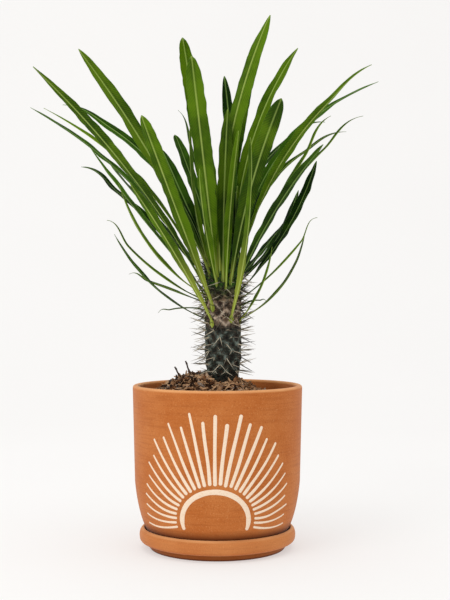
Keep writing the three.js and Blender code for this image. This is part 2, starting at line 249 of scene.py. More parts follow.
def make_piece(name: str, surface: Surface, finish: bpy.types.Material, slot: str, *nodes: str) -> None:
    """Puts a surface into a mesh at the origin that rides on the body and stands for CAD nodes.

    Args:
        name: the piece's name.
        surface: its points, faces and values.
        finish: its material.
        slot: the record's material slot; not used.
        nodes: the CAD nodes that it replaces.
    """
    mesh = bpy.data.meshes.new(name)
    faces = [*surface.quads.tolist(), *surface.triangles.tolist()]
    mesh.from_pydata((surface.points * MM).tolist(), [], faces)
    for label, value in surface.values.items():
        mesh.attributes.new(label, "FLOAT", "POINT").data.foreach_set("value", value.astype(np.float32))
    mesh.shade_smooth()
    mesh.materials.append(finish)
    piece = bpy.data.objects.new(name, mesh)
    bpy.context.scene.collection.objects.link(piece)
    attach(piece, BODY)
    if nodes:
        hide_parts(*nodes)
    LOG.info("%s: %d points, %d faces", name, len(surface.points), len(faces))


# ---- finishes ----

def add_node(
    tree: bpy.types.NodeTree,
    kind: str,
    links: dict[str | int, bpy.types.NodeSocket] | None = None,
    sockets: dict[str | int, object] | None = None,
    **settings: object,
) -> bpy.types.Node:
    """Adds a node with its settings, its fixed sockets and its links.

    Args:
        tree: the material's node tree.
        kind: the node's type.
        links: output socket to feed each named input.
        sockets: value of each unlinked input.
        settings: the node's own properties.

    Returns:
        The new node.
    """
    node = tree.nodes.new(kind)
    for label, value in settings.items():
        setattr(node, label, value)
    for label, value in (sockets or {}).items():
        node.inputs[label].default_value = value
    for label, source in (links or {}).items():
        tree.links.new(source, node.inputs[label])
    return node


def start_material(name: str, **sockets: object) -> Start:
    """New material with one Principled shader.

    Args:
        name: the material's name.
        sockets: the shader's fixed sockets, with underscores for the spaces in their names.

    Returns:
        The material, its tree and its shader.
    """
    material = bpy.data.materials.new(name)
    material.use_nodes = True
    tree = material.node_tree
    shader = next(node for node in tree.nodes if node.type == "BSDF_PRINCIPLED")
    for label, value in sockets.items():
        shader.inputs[label.replace("_", " ")].default_value = value
    return material, tree, shader


@dataclass(frozen=True)
class Terracotta:
    """Unglazed earthenware, thrown on a wheel and fired.

    The bare clay is matt. Uneven firing leaves broad soft mottling, the wheel leaves faint level
    lines, and grit gives light and dark specks. The grit is drawn at about 1 mm, coarser than the
    real 0.3 mm, so that it shows.
    """

    body: str = "#BA682F"
    pale: str = "#C6783F"
    deep: str = "#9A4F20"
    # Pale clay for light grit, and for a dusting with a painted highlight on the rims.
    dust_and_highlight: str = "#E4A26A"
    # Dark clay for painted shade low down, with some wet staining.
    damp_and_shade: str = "#6B3514"
    mottle_mm: float = 38.0
    turning_mm: float = 1.8
    grit_mm: float = 1.0
    drawn_round: Place = (0.05, 0.05, 1.0)

    def material(self) -> bpy.types.Material:
        """Mottling, turning lines, grit, then painted shade low down with some wet staining, and a
        dusting with a painted highlight on the rubbed edges.

        Returns:
            The material.
        """
        material, tree, shader = start_material(
            "unglazed_terracotta", Roughness=0.9, Specular_IOR_Level=0.12, Sheen_Weight=0.15,
            Sheen_Roughness=0.4)
        place = add_node(tree, "ShaderNodeTexCoord").outputs["Object"]
        mottle = add_node(tree, "ShaderNodeTexNoise", {"Vector": place},
                          {"Scale": per_metre(self.mottle_mm), "Detail": 5.0, "Roughness": 0.6})
        fired = add_node(tree, "ShaderNodeMapRange", {"Value": mottle.outputs["Fac"]},
                         {"From Min": 0.35, "From Max": 0.65})
        clay = add_node(tree, "ShaderNodeMix", {0: fired.outputs[0]},
                        {6: linear(self.body), 7: linear(self.pale)}, data_type="RGBA")
        level = add_node(tree, "ShaderNodeMapping", {"Vector": place}, {"Scale": self.drawn_round})
        lines = add_node(tree, "ShaderNodeTexNoise", {"Vector": level.outputs[0]},
                         {"Scale": per_metre(self.turning_mm), "Detail": 2.0})
        groove = add_node(tree, "ShaderNodeMapRange", {"Value": lines.outputs["Fac"]},
                          {"From Min": 0.5, "From Max": 0.75, "To Max": 0.35})
        thrown = add_node(tree, "ShaderNodeMix", {0: groove.outputs[0], 6: clay.outputs[2]},
                          {7: linear(self.deep)}, data_type="RGBA")
        grit = add_node(tree, "ShaderNodeTexNoise", {"Vector": place},
                        {"Scale": per_metre(self.grit_mm), "Detail": 1.0})
        dark = add_node(tree, "ShaderNodeMapRange", {"Value": grit.outputs["Fac"]},
                        {"From Min": 0.4, "From Max": 0.28, "To Max": 0.45})
        speckled = add_node(tree, "ShaderNodeMix", {0: dark.outputs[0], 6: thrown.outputs[2]},
                            {7: linear(self.deep)}, data_type="RGBA")
        light = add_node(tree, "ShaderNodeMapRange", {"Value": grit.outputs["Fac"]},
                         {"From Min": 0.6, "From Max": 0.74, "To Max": 0.3})
        grained = add_node(tree, "ShaderNodeMix", {0: light.outputs[0], 6: speckled.outputs[2]},
                           {7: linear(self.dust_and_highlight)}, data_type="RGBA")
        # Painted shade with some wet staining: darker clay under and inside the saucer and round the pot's
        # foot.
        damp_and_shade = add_node(tree, "ShaderNodeAttribute", attribute_name="damp_and_shade")
        damp_and_shaded_clay = add_node(tree, "ShaderNodeMix", {0: damp_and_shade.outputs["Fac"], 6: grained.outputs[2]},
                          {7: linear(self.damp_and_shade)}, data_type="RGBA")
        # A dusting with a painted highlight on the pot's lip and the saucer's rim.
        wear_and_highlight = add_node(tree, "ShaderNodeAttribute", attribute_name="wear_and_highlight")
        dusted_and_highlit = add_node(tree, "ShaderNodeMix", {0: wear_and_highlight.outputs["Fac"], 6: damp_and_shaded_clay.outputs[2]},
                         {7: linear(self.dust_and_highlight)}, data_type="RGBA")
        tree.links.new(dusted_and_highlit.outputs[2], shader.inputs["Base Color"])
        relief = add_node(tree, "ShaderNodeMath", {0: grit.outputs["Fac"], 1: lines.outputs["Fac"]},
                          operation="ADD")
        bump = add_node(tree, "ShaderNodeBump", {"Height": relief.outputs[0]},
                        {"Strength": 0.35, "Distance": 0.0004})
        tree.links.new(bump.outputs[0], shader.inputs["Normal"])
        return material


@dataclass(frozen=True)
class CreamPaint:
    """Matt cream slip laid on by brush: slightly thin where the clay's grain stands up through it."""

    cream: str = "#F6DFC6"
    thin: str = "#E6C29C"
    bristle_mm: float = 1.4

    def material(self) -> bpy.types.Material:
        """Cream with thin places at the scale of the bristles.

        Returns:
            The material.
        """
        material, tree, shader = start_material("brushed_cream_slip", Roughness=0.85, Specular_IOR_Level=0.2)
        place = add_node(tree, "ShaderNodeTexCoord").outputs["Object"]
        strokes = add_node(tree, "ShaderNodeTexNoise", {"Vector": place},
                           {"Scale": per_metre(self.bristle_mm), "Detail": 3.0})
        wear = add_node(tree, "ShaderNodeMapRange", {"Value": strokes.outputs["Fac"]},
                        {"From Min": 0.52, "From Max": 0.8, "To Max": 0.8})
        paint = add_node(tree, "ShaderNodeMix", {0: wear.outputs[0]},
                         {6: linear(self.cream), 7: linear(self.thin)}, data_type="RGBA")
        tree.links.new(paint.outputs[2], shader.inputs["Base Color"])
        bump = add_node(tree, "ShaderNodeBump", {"Height": strokes.outputs["Fac"]},
                        {"Strength": 0.3, "Distance": 0.0003})
        tree.links.new(bump.outputs[0], shader.inputs["Normal"])
        return material


@dataclass(frozen=True)
class BarkMix:
    """Damp chopped pine bark and coir: each chip has a tone of its own, with a fine fibrous grain."""

    wet: str = "#2C1A10"
    brown: str = "#7C4F2C"
    tan: str = "#C29A74"
    ash: str = "#A5968A"
    grain_mm: float = 1.2

    def material(self) -> bpy.types.Material:
        """Tone from near black through brown to tan, ash on some chips, streaked by the grain.

        Returns:
            The material.
        """
        material, tree, shader = start_material("damp_bark_chips", Roughness=0.92, Specular_IOR_Level=0.25)
        place = add_node(tree, "ShaderNodeTexCoord").outputs["Object"]
        tone = add_node(tree, "ShaderNodeAttribute", attribute_name="tone")
        grain = add_node(tree, "ShaderNodeTexNoise", {"Vector": place},
                         {"Scale": per_metre(self.grain_mm), "Detail": 4.0, "Roughness": 0.7})
        streak = add_node(tree, "ShaderNodeMath", {0: grain.outputs["Fac"], 2: tone.outputs["Fac"]},
                          {1: 0.7}, operation="MULTIPLY_ADD")
        damp_and_shade = add_node(tree, "ShaderNodeMapRange", {"Value": streak.outputs[0]},
                        {"From Min": 0.3, "From Max": 0.8})
        brown = add_node(tree, "ShaderNodeMix", {0: damp_and_shade.outputs[0]},
                         {6: linear(self.wet), 7: linear(self.brown)}, data_type="RGBA")
        dry = add_node(tree, "ShaderNodeMapRange", {"Value": streak.outputs[0]},
                       {"From Min": 0.8, "From Max": 1.25})
        tan = add_node(tree, "ShaderNodeMix", {0: dry.outputs[0], 6: brown.outputs[2]},
                       {7: linear(self.tan)}, data_type="RGBA")
        ashen = add_node(tree, "ShaderNodeAttribute", attribute_name="ash")
        bark = add_node(tree, "ShaderNodeMix", {0: ashen.outputs["Fac"], 6: tan.outputs[2]},
                        {7: linear(self.ash)}, data_type="RGBA")
        tree.links.new(bark.outputs[2], shader.inputs["Base Color"])
        bump = add_node(tree, "ShaderNodeBump", {"Height": grain.outputs["Fac"]},
                        {"Strength": 0.8, "Distance": 0.0008})
        tree.links.new(bump.outputs[0], shader.inputs["Normal"])
        return material


@dataclass(frozen=True)
class StemBark:
    """Skin of a young palm stem, grown: slate green on the tubercles, paler on their crests as a waxy
    coat and painted highlight, near black in the furrows as dark cracks and painted shade.

    Old leaf scars dry to tan and brown below the crown, and the growing top is dark green, near
    black between its cushions as painted shade under the crown.
    """

    slate: str = "#353C34"
    # Crest colour, partly a waxy coat and partly painted highlight; the furrow colour below is partly painted
    # shade.
    bloom_and_highlight: str = "#84928A"
    furrow: str = "#0D0B08"
    brown: str = "#35271D"
    stain: str = "#4A382A"
    rust: str = "#A88A70"
    scar: str = "#E2CDB6"
    pit: str = "#2E1B14"
    # Growing top, near black as painted shade under the crown, and its raised cushions.
    heart: str = "#0A1E06"
    cushion: str = "#3C6420"
    patch_mm: float = 4.2
    crackle_mm: float = 1.6
    scars_from_m: float = 0.193
    scars_blend_m: float = 0.01
    heart_from_m: float = 0.216
    heart_blend_m: float = 0.016

    def material(self) -> bpy.types.Material:
        """Painted shade in the furrows, a waxy coat and painted highlight on the crests, brown and scars
        below the crown, then the green growing top in painted shade.

        Returns:
            The material.
        """
        material, tree, shader = start_material(
            "ridged_succulent_bark", Roughness=0.75, Specular_IOR_Level=0.2)
        place = add_node(tree, "ShaderNodeTexCoord").outputs["Object"]
        patch = add_node(tree, "ShaderNodeTexNoise", {"Vector": place},
                         {"Scale": per_metre(self.patch_mm), "Detail": 5.0, "Roughness": 0.65,
                          "Distortion": 0.6})
        crackle = add_node(tree, "ShaderNodeTexNoise", {"Vector": place},
                           {"Scale": per_metre(self.crackle_mm), "Detail": 3.0})
        crest = add_node(tree, "ShaderNodeAttribute", attribute_name="crest")
        depth = add_node(tree, "ShaderNodeMath", {0: crest.outputs["Fac"], 2: patch.outputs["Fac"]},
                         {1: 0.3}, operation="MULTIPLY_ADD")
        skin_share = add_node(tree, "ShaderNodeMapRange", {"Value": depth.outputs[0]},
                              {"From Min": 0.46, "From Max": 0.72})
        # Near black in the furrows: dark cracks with painted shade.
        skin = add_node(tree, "ShaderNodeMix", {0: skin_share.outputs[0]},
                        {6: linear(self.furrow), 7: linear(self.slate)}, data_type="RGBA")
        # Paler on the crests: a waxy coat with a painted highlight.
        bloom_and_highlight_share = add_node(tree, "ShaderNodeMapRange", {"Value": depth.outputs[0]},
                               {"From Min": 0.66, "From Max": 0.92, "To Max": 0.9})
        bloomed_and_highlit = add_node(tree, "ShaderNodeMix", {0: bloom_and_highlight_share.outputs[0], 6: skin.outputs[2]},
                           {7: linear(self.bloom_and_highlight)}, data_type="RGBA")
        rust_share = add_node(tree, "ShaderNodeMapRange", {"Value": crackle.outputs["Fac"]},
                              {"From Min": 0.52, "From Max": 0.64, "To Max": 0.6})
        rusty = add_node(tree, "ShaderNodeMix", {0: rust_share.outputs[0], 6: bloomed_and_highlit.outputs[2]},
                         {7: linear(self.stain)}, data_type="RGBA")
        height = add_node(tree, "ShaderNodeSeparateXYZ", {"Vector": place})
        old_share = add_node(tree, "ShaderNodeMapRange", {"Value": height.outputs["Z"]},
                             {"From Min": self.scars_from_m,
                              "From Max": self.scars_from_m + self.scars_blend_m, "To Max": 0.85})
        flake_share = add_node(tree, "ShaderNodeMapRange", {"Value": patch.outputs["Fac"]},
                               {"From Min": 0.44, "From Max": 0.6})
        flaking = add_node(tree, "ShaderNodeMix", {0: flake_share.outputs[0]},
                           {6: linear(self.brown), 7: linear(self.rust)}, data_type="RGBA")
        old = add_node(tree, "ShaderNodeMix", {0: old_share.outputs[0], 6: rusty.outputs[2],
                                               7: flaking.outputs[2]}, data_type="RGBA")
        scar = add_node(tree, "ShaderNodeAttribute", attribute_name="scar")
        broken = add_node(tree, "ShaderNodeMapRange", {"Value": patch.outputs["Fac"]},
                          {"From Min": 0.34, "From Max": 0.5, "To Min": 0.2, "To Max": 0.97})
        scar_share = add_node(tree, "ShaderNodeMath", {0: scar.outputs["Fac"], 1: broken.outputs[0]},
                              operation="MULTIPLY")
        pit = add_node(tree, "ShaderNodeAttribute", attribute_name="pit")
        pitted = add_node(tree, "ShaderNodeMix", {0: pit.outputs["Fac"], 6: old.outputs[2]},
                          {7: linear(self.pit)}, data_type="RGBA")
        scarred = add_node(tree, "ShaderNodeMix", {0: scar_share.outputs[0], 6: pitted.outputs[2]},
                           {7: linear(self.scar)}, data_type="RGBA")
        heart_share = add_node(tree, "ShaderNodeMapRange", {"Value": height.outputs["Z"]},
                               {"From Min": self.heart_from_m,
                                "From Max": self.heart_from_m + self.heart_blend_m})
        # Growing top: near black between the raised cushions, painted shade under the crown.
        green_share = add_node(tree, "ShaderNodeMapRange", {"Value": depth.outputs[0]},
                               {"From Min": 0.5, "From Max": 0.85})
        green = add_node(tree, "ShaderNodeMix", {0: green_share.outputs[0]},
                         {6: linear(self.heart), 7: linear(self.cushion)}, data_type="RGBA")
        bark = add_node(tree, "ShaderNodeMix", {0: heart_share.outputs[0], 6: scarred.outputs[2],
                                                7: green.outputs[2]}, data_type="RGBA")
        tree.links.new(bark.outputs[2], shader.inputs["Base Color"])
        relief = add_node(tree, "ShaderNodeMath", {0: patch.outputs["Fac"], 1: crackle.outputs["Fac"]},
                          operation="ADD")
        bump = add_node(tree, "ShaderNodeBump", {"Height": relief.outputs[0]},
                        {"Strength": 0.8, "Distance": 0.0009})
        tree.links.new(bump.outputs[0], shader.inputs["Normal"])
        return material


@dataclass(frozen=True)
class SpineHorn:
    """Horny spine, grown: tan at the root, drying to grey brown at the point, slightly polished."""

    pale: str = "#D8CBB2"
    dark: str = "#2E261F"

    def material(self) -> bpy.types.Material:
        """From pale to dark by each spine's own age and towards its point.

        Returns:
            The material.
        """
        material, tree, shader = start_material("dry_spine_horn", Roughness=0.5)
        age = add_node(tree, "ShaderNodeAttribute", attribute_name="age")
        horn = add_node(tree, "ShaderNodeMix", {0: age.outputs["Fac"]},
                        {6: linear(self.pale), 7: linear(self.dark)}, data_type="RGBA")
        tree.links.new(horn.outputs[2], shader.inputs["Base Color"])
        return material


@dataclass(frozen=True)
class TwigBark:
    """Dead twig, weathered: dark brown bark, lengthwise wrinkles and paler worn knots."""

    dark: str = "#241711"
    wear_and_highlight: str = "#4A362A"
    wrinkle_mm: float = 0.9

    def material(self) -> bpy.types.Material:
        """Wrinkles drawn out along the twig.

        Returns:
            The material.
        """
        material, tree, shader = start_material("weathered_twig_bark", Roughness=0.85, Specular_IOR_Level=0.3)
        place = add_node(tree, "ShaderNodeTexCoord").outputs["Object"]
        drawn = add_node(tree, "ShaderNodeMapping", {"Vector": place}, {"Scale": (1.0, 1.0, 0.25)})
        wrinkle = add_node(tree, "ShaderNodeTexNoise", {"Vector": drawn.outputs[0]},
                           {"Scale": per_metre(self.wrinkle_mm), "Detail": 3.0})
        bark = add_node(tree, "ShaderNodeMix", {0: wrinkle.outputs["Fac"]},
                        {6: linear(self.dark), 7: linear(self.wear_and_highlight)}, data_type="RGBA")
        tree.links.new(bark.outputs[2], shader.inputs["Base Color"])
        bump = add_node(tree, "ShaderNodeBump", {"Height": wrinkle.outputs["Fac"]},
                        {"Strength": 0.6, "Distance": 0.0004})
        tree.links.new(bump.outputs[0], shader.inputs["Normal"])
        return material


class Tone(Enum):
    """How light a leaf is: its slot, upper colour, deep colour and midrib colour. The tones are partly
    the leaves' own colour and partly painted light and shade: front leaves light, those behind dark.
    """

    LIGHT = ("leaf_light", "#55760A", "#2C4A04", "#BED070")
    MID = ("leaf_mid", "#4E6A0C", "#203C04", "#AEC468")
    DARK = ("leaf_dark", "#385A10", "#0D2404", "#8EAC5C")


@dataclass(frozen=True)
class LeafSkin:
    """Succulent leaf, grown: a waxy satin skin with a pale midrib and faint slanting side veins.

    The underside is paler, the base yellows towards the stalk, and a little light passes through.
    """

    tone: Tone
    base: str = "#9AA440"
    vein_mm: float = 2.6
    mottle_mm: float = 14.0

    def material(self) -> bpy.types.Material:
        """Two greens mixed by mottling, veins and the painted light and shade of each leaf, then the midrib,
        the base and the underside.

        Returns:
            The material.
        """
        slot, upper, deep, rib = self.tone.value
        material, tree, shader = start_material(
            "waxy_" + slot, Roughness=0.5, Specular_IOR_Level=0.015, Subsurface_Weight=0.1,
            Subsurface_Scale=0.0015)
        shader.inputs["Subsurface Radius"].default_value = (0.5, 1.0, 0.2)
        place = add_node(tree, "ShaderNodeTexCoord").outputs["Object"]
        mottle = add_node(tree, "ShaderNodeTexNoise", {"Vector": place},
                          {"Scale": per_metre(self.mottle_mm), "Detail": 3.0})
        phase = add_node(tree, "ShaderNodeAttribute", attribute_name="vein")
        turn = add_node(tree, "ShaderNodeMath", {0: phase.outputs["Fac"]},
                        {1: 2.0 * math.pi / self.vein_mm}, operation="MULTIPLY")
        ripple = add_node(tree, "ShaderNodeMath", {0: turn.outputs[0]}, operation="SINE")
        # Tint and shade at each point: the leaf's own tone together with painted light and shade.
        tint_and_shade = add_node(tree, "ShaderNodeAttribute", attribute_name="tint_and_shade")
        shade = add_node(tree, "ShaderNodeMath", {0: ripple.outputs[0], 2: mottle.outputs["Fac"]},
                         {1: 0.1}, operation="MULTIPLY_ADD")
        deepened = add_node(tree, "ShaderNodeMath", {0: shade.outputs[0], 1: tint_and_shade.outputs["Fac"]},
                            operation="ADD")
        green_share = add_node(tree, "ShaderNodeMapRange", {"Value": deepened.outputs[0]},
                               {"From Min": 0.25, "From Max": 0.75})
        green = add_node(tree, "ShaderNodeMix", {0: green_share.outputs[0]},
                         {6: linear(upper), 7: linear(deep)}, data_type="RGBA")
        base = add_node(tree, "ShaderNodeAttribute", attribute_name="base")
        yellowed = add_node(tree, "ShaderNodeMix", {0: base.outputs["Fac"], 6: green.outputs[2]},
                            {7: linear(self.base)}, data_type="RGBA")
        pale = add_node(tree, "ShaderNodeAttribute", attribute_name="pale")
        ribbed = add_node(tree, "ShaderNodeMix", {0: pale.outputs["Fac"], 6: yellowed.outputs[2]},
                          {7: linear(rib)}, data_type="RGBA")
        tree.links.new(ribbed.outputs[2], shader.inputs["Base Color"])
        height = add_node(tree, "ShaderNodeMath", {0: ripple.outputs[0], 2: mottle.outputs["Fac"]},
                          {1: 0.25}, operation="MULTIPLY_ADD")
        bump = add_node(tree, "ShaderNodeBump", {"Height": height.outputs[0]},
                        {"Strength": 0.35, "Distance": 0.0003})
        tree.links.new(bump.outputs[0], shader.inputs["Normal"])
        return material


@dataclass(frozen=True)
class StudioPaper:
    """Seamless translucent sheet, lit from below: near-white and matt, with faint broad clouds.

    About half of its light comes through the sheet, so a thing that stands on it throws a faint
    shadow.
    """

    white: str = "#B5B4B3"
    cloud: str = "#B1B0AF"
    cloud_mm: float = 400.0
    glow: str = "#FFFDFC"
    glow_strength: float = 0.5

    def material(self) -> bpy.types.Material:
        """Two whites mixed by a broad soft noise, over an even glow.

        Returns:
            The material.
        """
        material, tree, shader = start_material(
            "underlit_studio_paper", Roughness=1.0, Specular_IOR_Level=0.0,
            Emission_Color=linear(self.glow), Emission_Strength=self.glow_strength)
        place = add_node(tree, "ShaderNodeTexCoord").outputs["Object"]
        clouds = add_node(tree, "ShaderNodeTexNoise", {"Vector": place},
                          {"Scale": per_metre(self.cloud_mm), "Detail": 2.0})
        paper = add_node(tree, "ShaderNodeMix", {0: clouds.outputs["Fac"]},
                         {6: linear(self.white), 7: linear(self.cloud)}, data_type="RGBA")
        tree.links.new(paper.outputs[2], shader.inputs["Base Color"])
        return material


# ---- pot and saucer ----

@dataclass
class Saucer:
    """Shallow dish with a fat rolled rim on a narrower foot.

    The neck is where the foot turns out into the rim, the bulge is the rim's widest point, the crest
    its highest, and the step is where its inner face runs into the floor.
    """

    foot_r: float = 60.0
    neck: ProfilePoint = (61.8, 5.4)
    bulge: ProfilePoint = (68.7, 9.5)
    crest_r: float = 65.2
    step: ProfilePoint = (62.6, 10.0)
    mouth_r: float = 64.2
    floor_z: float = 7.0
    height: float = 18.5
    steps: int = 240
    seed: int = 3

    def profile(self) -> Grid:
        """Outline from the foot round the rim to the floor, each stretch one curve.

        Returns:
            Radius and height of each point.
        """
        crest = (self.crest_r, self.height)
        middle_r = self.foot_r * 0.5
        return np.concatenate([
            [(middle_r, 0.0), (self.foot_r - 1.0, 0.0)],
            bezier([(self.foot_r - 0.6, 0.1), (60.4, 1.2), (61.2, 3.2), self.neck], 8),
            bezier([self.neck, (65.8, 5.2), (68.4, 6.6), self.bulge], 14)[1:],
            bezier([self.bulge, (69.4, 13.0), (68.6, 17.6), crest], 20)[1:],
            bezier([crest, (63.6, self.height), (63.4, 13.0), self.step], 14)[1:],
            bezier([self.step, (62.2, self.floor_z), (60.0, self.floor_z)], 8)[1:],
            [(middle_r, self.floor_z)],
        ])

    def build(self, clay: bpy.types.Material) -> None:
        """Turns the profile; the rim has a dusting and a painted highlight, and the underside and the
        dish's inside are darker, painted shade with some wet staining.

        Args:
            clay: the finish.
        """
        rings = turned(self.profile(), self.steps)
        x, y, z = np.moveaxis(rings, -1, 0)
        angle = np.arctan2(y, x)
        uneven = 0.75 + 0.25 * waves(self.seed, 8, 1.6, 0.3, np.cos(angle), np.sin(angle))
        inside = (np.hypot(x, y) < self.mouth_r) & (z > self.floor_z - 0.5)
        # A dusting with a painted highlight: the rim's outer face and its crest lighter.
        bulge_dust_and_highlight = 0.2 * smoothstep(z, 6.5, 9.0) * ~inside
        crest_dust_and_highlight = 0.7 * smoothstep(z, self.height - 2.4, self.height - 0.6) * uneven
        # Painted shade with some wet staining: darker under the foot and inside the dish.
        under = 0.6 * (z < self.neck[1] + 0.1) + 0.4 * (z < 1.5)
        damp_and_shade = np.where(inside, 1.0 - smoothstep(z, 14.5, self.height - 0.4), under)
        values = {"wear_and_highlight": bulge_dust_and_highlight + crest_dust_and_highlight, "damp_and_shade": damp_and_shade}
        make_piece("saucer_clay", closed_bodies(rings, values), clay, "terracotta", "saucer")


@dataclass
class Pot:
    """Thrown pot: it swells from the foot, runs up nearly straight and ends in a rounded lip."""

    foot_r: float = 52.0
    foot_z: float = 7.0
    belly_r: float = 73.0
    belly_z: float = 59.0
    rim_r: float = 75.0
    rim_z: float = 143.5
    wall: float = 5.5
    drain_r: float = 6.0
    floor_set_in: float = 4.4
    # Band of the lip's dusting and painted highlight, down from the rim.
    lip_dust_and_highlight: Span = (2.7, 0.8)
    # Bands of painted shade with some wet staining: up from the foot, and down from the rim inside.
    foot_damp_and_shade: Span = (11.0, 21.0)
    wall_damp_and_shade: Span = (12.0, 3.0)
    steps: int = 288
    seed: int = 5

    def wall_line(self, inset: float, floor: float, foot_inset: float, count: int = 30) -> Grid:
        """Wall from the floor up to the belly.

        Args:
            inset: how far the line lies inside the outer face.
            floor: height that it starts at.
            foot_inset: how far its foot lies inside the outer foot.
            count: number of points.

        Returns:
            Radius and height of each point.
        """
        return bezier([(self.foot_r - foot_inset, floor), (self.foot_r + 10.0 - inset, floor + 2.0),
                       (self.belly_r - 3.0 - inset, self.belly_z / 2.0 - 1.5 + inset / 2.0),
                       (self.belly_r - inset, self.belly_z)], count)

    def profile(self) -> Grid:
        """Closed outline: outer wall, lip, inner wall, floor and drain hole.

        Returns:
            Radius and height of each point, the first one again at the end.
        """
        lip = self.wall / 2.0
        inner_r = self.rim_r - self.wall
        shoulder = self.rim_z - lip
        floor = self.foot_z + self.wall
        outer_corner = (self.rim_r, shoulder)
        inner_corner = (inner_r, shoulder)
        top = (self.rim_r - lip, self.rim_z)
        inner_foot = self.wall_line(self.wall, floor, self.floor_set_in)[::-1]
        return np.concatenate([
            self.wall_line(0.0, self.foot_z, 0.0),
            bezier([(self.belly_r, self.belly_z), outer_corner], 40)[1:],
            bezier([outer_corner, (self.rim_r, self.rim_z), top], 12)[1:],
            bezier([top, (inner_r, self.rim_z), inner_corner], 12)[1:],
            bezier([inner_corner, tuple(inner_foot[0])], 30)[1:],
            inner_foot[1:],
            bezier([tuple(inner_foot[-1]), (self.drain_r, floor)], 8)[1:],
            bezier([(self.drain_r, self.foot_z), (self.foot_r, self.foot_z)], 8),
        ])

    def radius_at(self, z: Grid) -> Grid:
        """Outer radius of the wall at a height, read off the profile.

        Args:
            z: heights above the floor.

        Returns:
            The radius at each height.
        """
        outer = np.concatenate([self.wall_line(0.0, self.foot_z, 0.0, 120),
                                [(self.rim_r, self.rim_z - self.wall / 2.0)]])
        return np.interp(z, outer[:, 1], outer[:, 0])

    def build(self, clay: bpy.types.Material) -> None:
        """Turns the profile; the lip has a dusting and a painted highlight, and the foot and the inner
        wall are darker, painted shade with some wet staining.

        The lip's dusting and highlight and the inner wall's shade are measured down from the rim,
        the foot's shade up from its underside.

        Args:
            clay: the finish.
        """
        rings = turned(self.profile(), self.steps, looped=True)
        x, y, z = np.moveaxis(rings, -1, 0)
        angle = np.arctan2(y, x)
        uneven = 0.86 + 0.14 * waves(self.seed, 10, 1.4, 0.2, np.cos(angle), np.sin(angle))
        # A dusting with a painted highlight on the lip.
        lip_low, lip_high = self.lip_dust_and_highlight
        lip = smoothstep(z, self.rim_z - lip_low, self.rim_z - lip_high) * uneven
        inside = np.hypot(x, y) < self.radius_at(z) - 2.0
        # Painted shade with some wet staining on the foot inside the saucer and low on the inner wall.
        foot_low, foot_high = self.foot_damp_and_shade
        foot = 0.95 * (1.0 - smoothstep(z, self.foot_z + foot_low, self.foot_z + foot_high))
        wall_low, wall_high = self.wall_damp_and_shade
        wall = 0.2 - 0.2 * smoothstep(z, self.rim_z - wall_low, self.rim_z - wall_high)
        values = {"wear_and_highlight": lip, "damp_and_shade": np.where(inside, wall, foot)}
        make_piece("pot_clay", closed_bodies(rings, values, looped=True), clay, "terracotta", "pot")


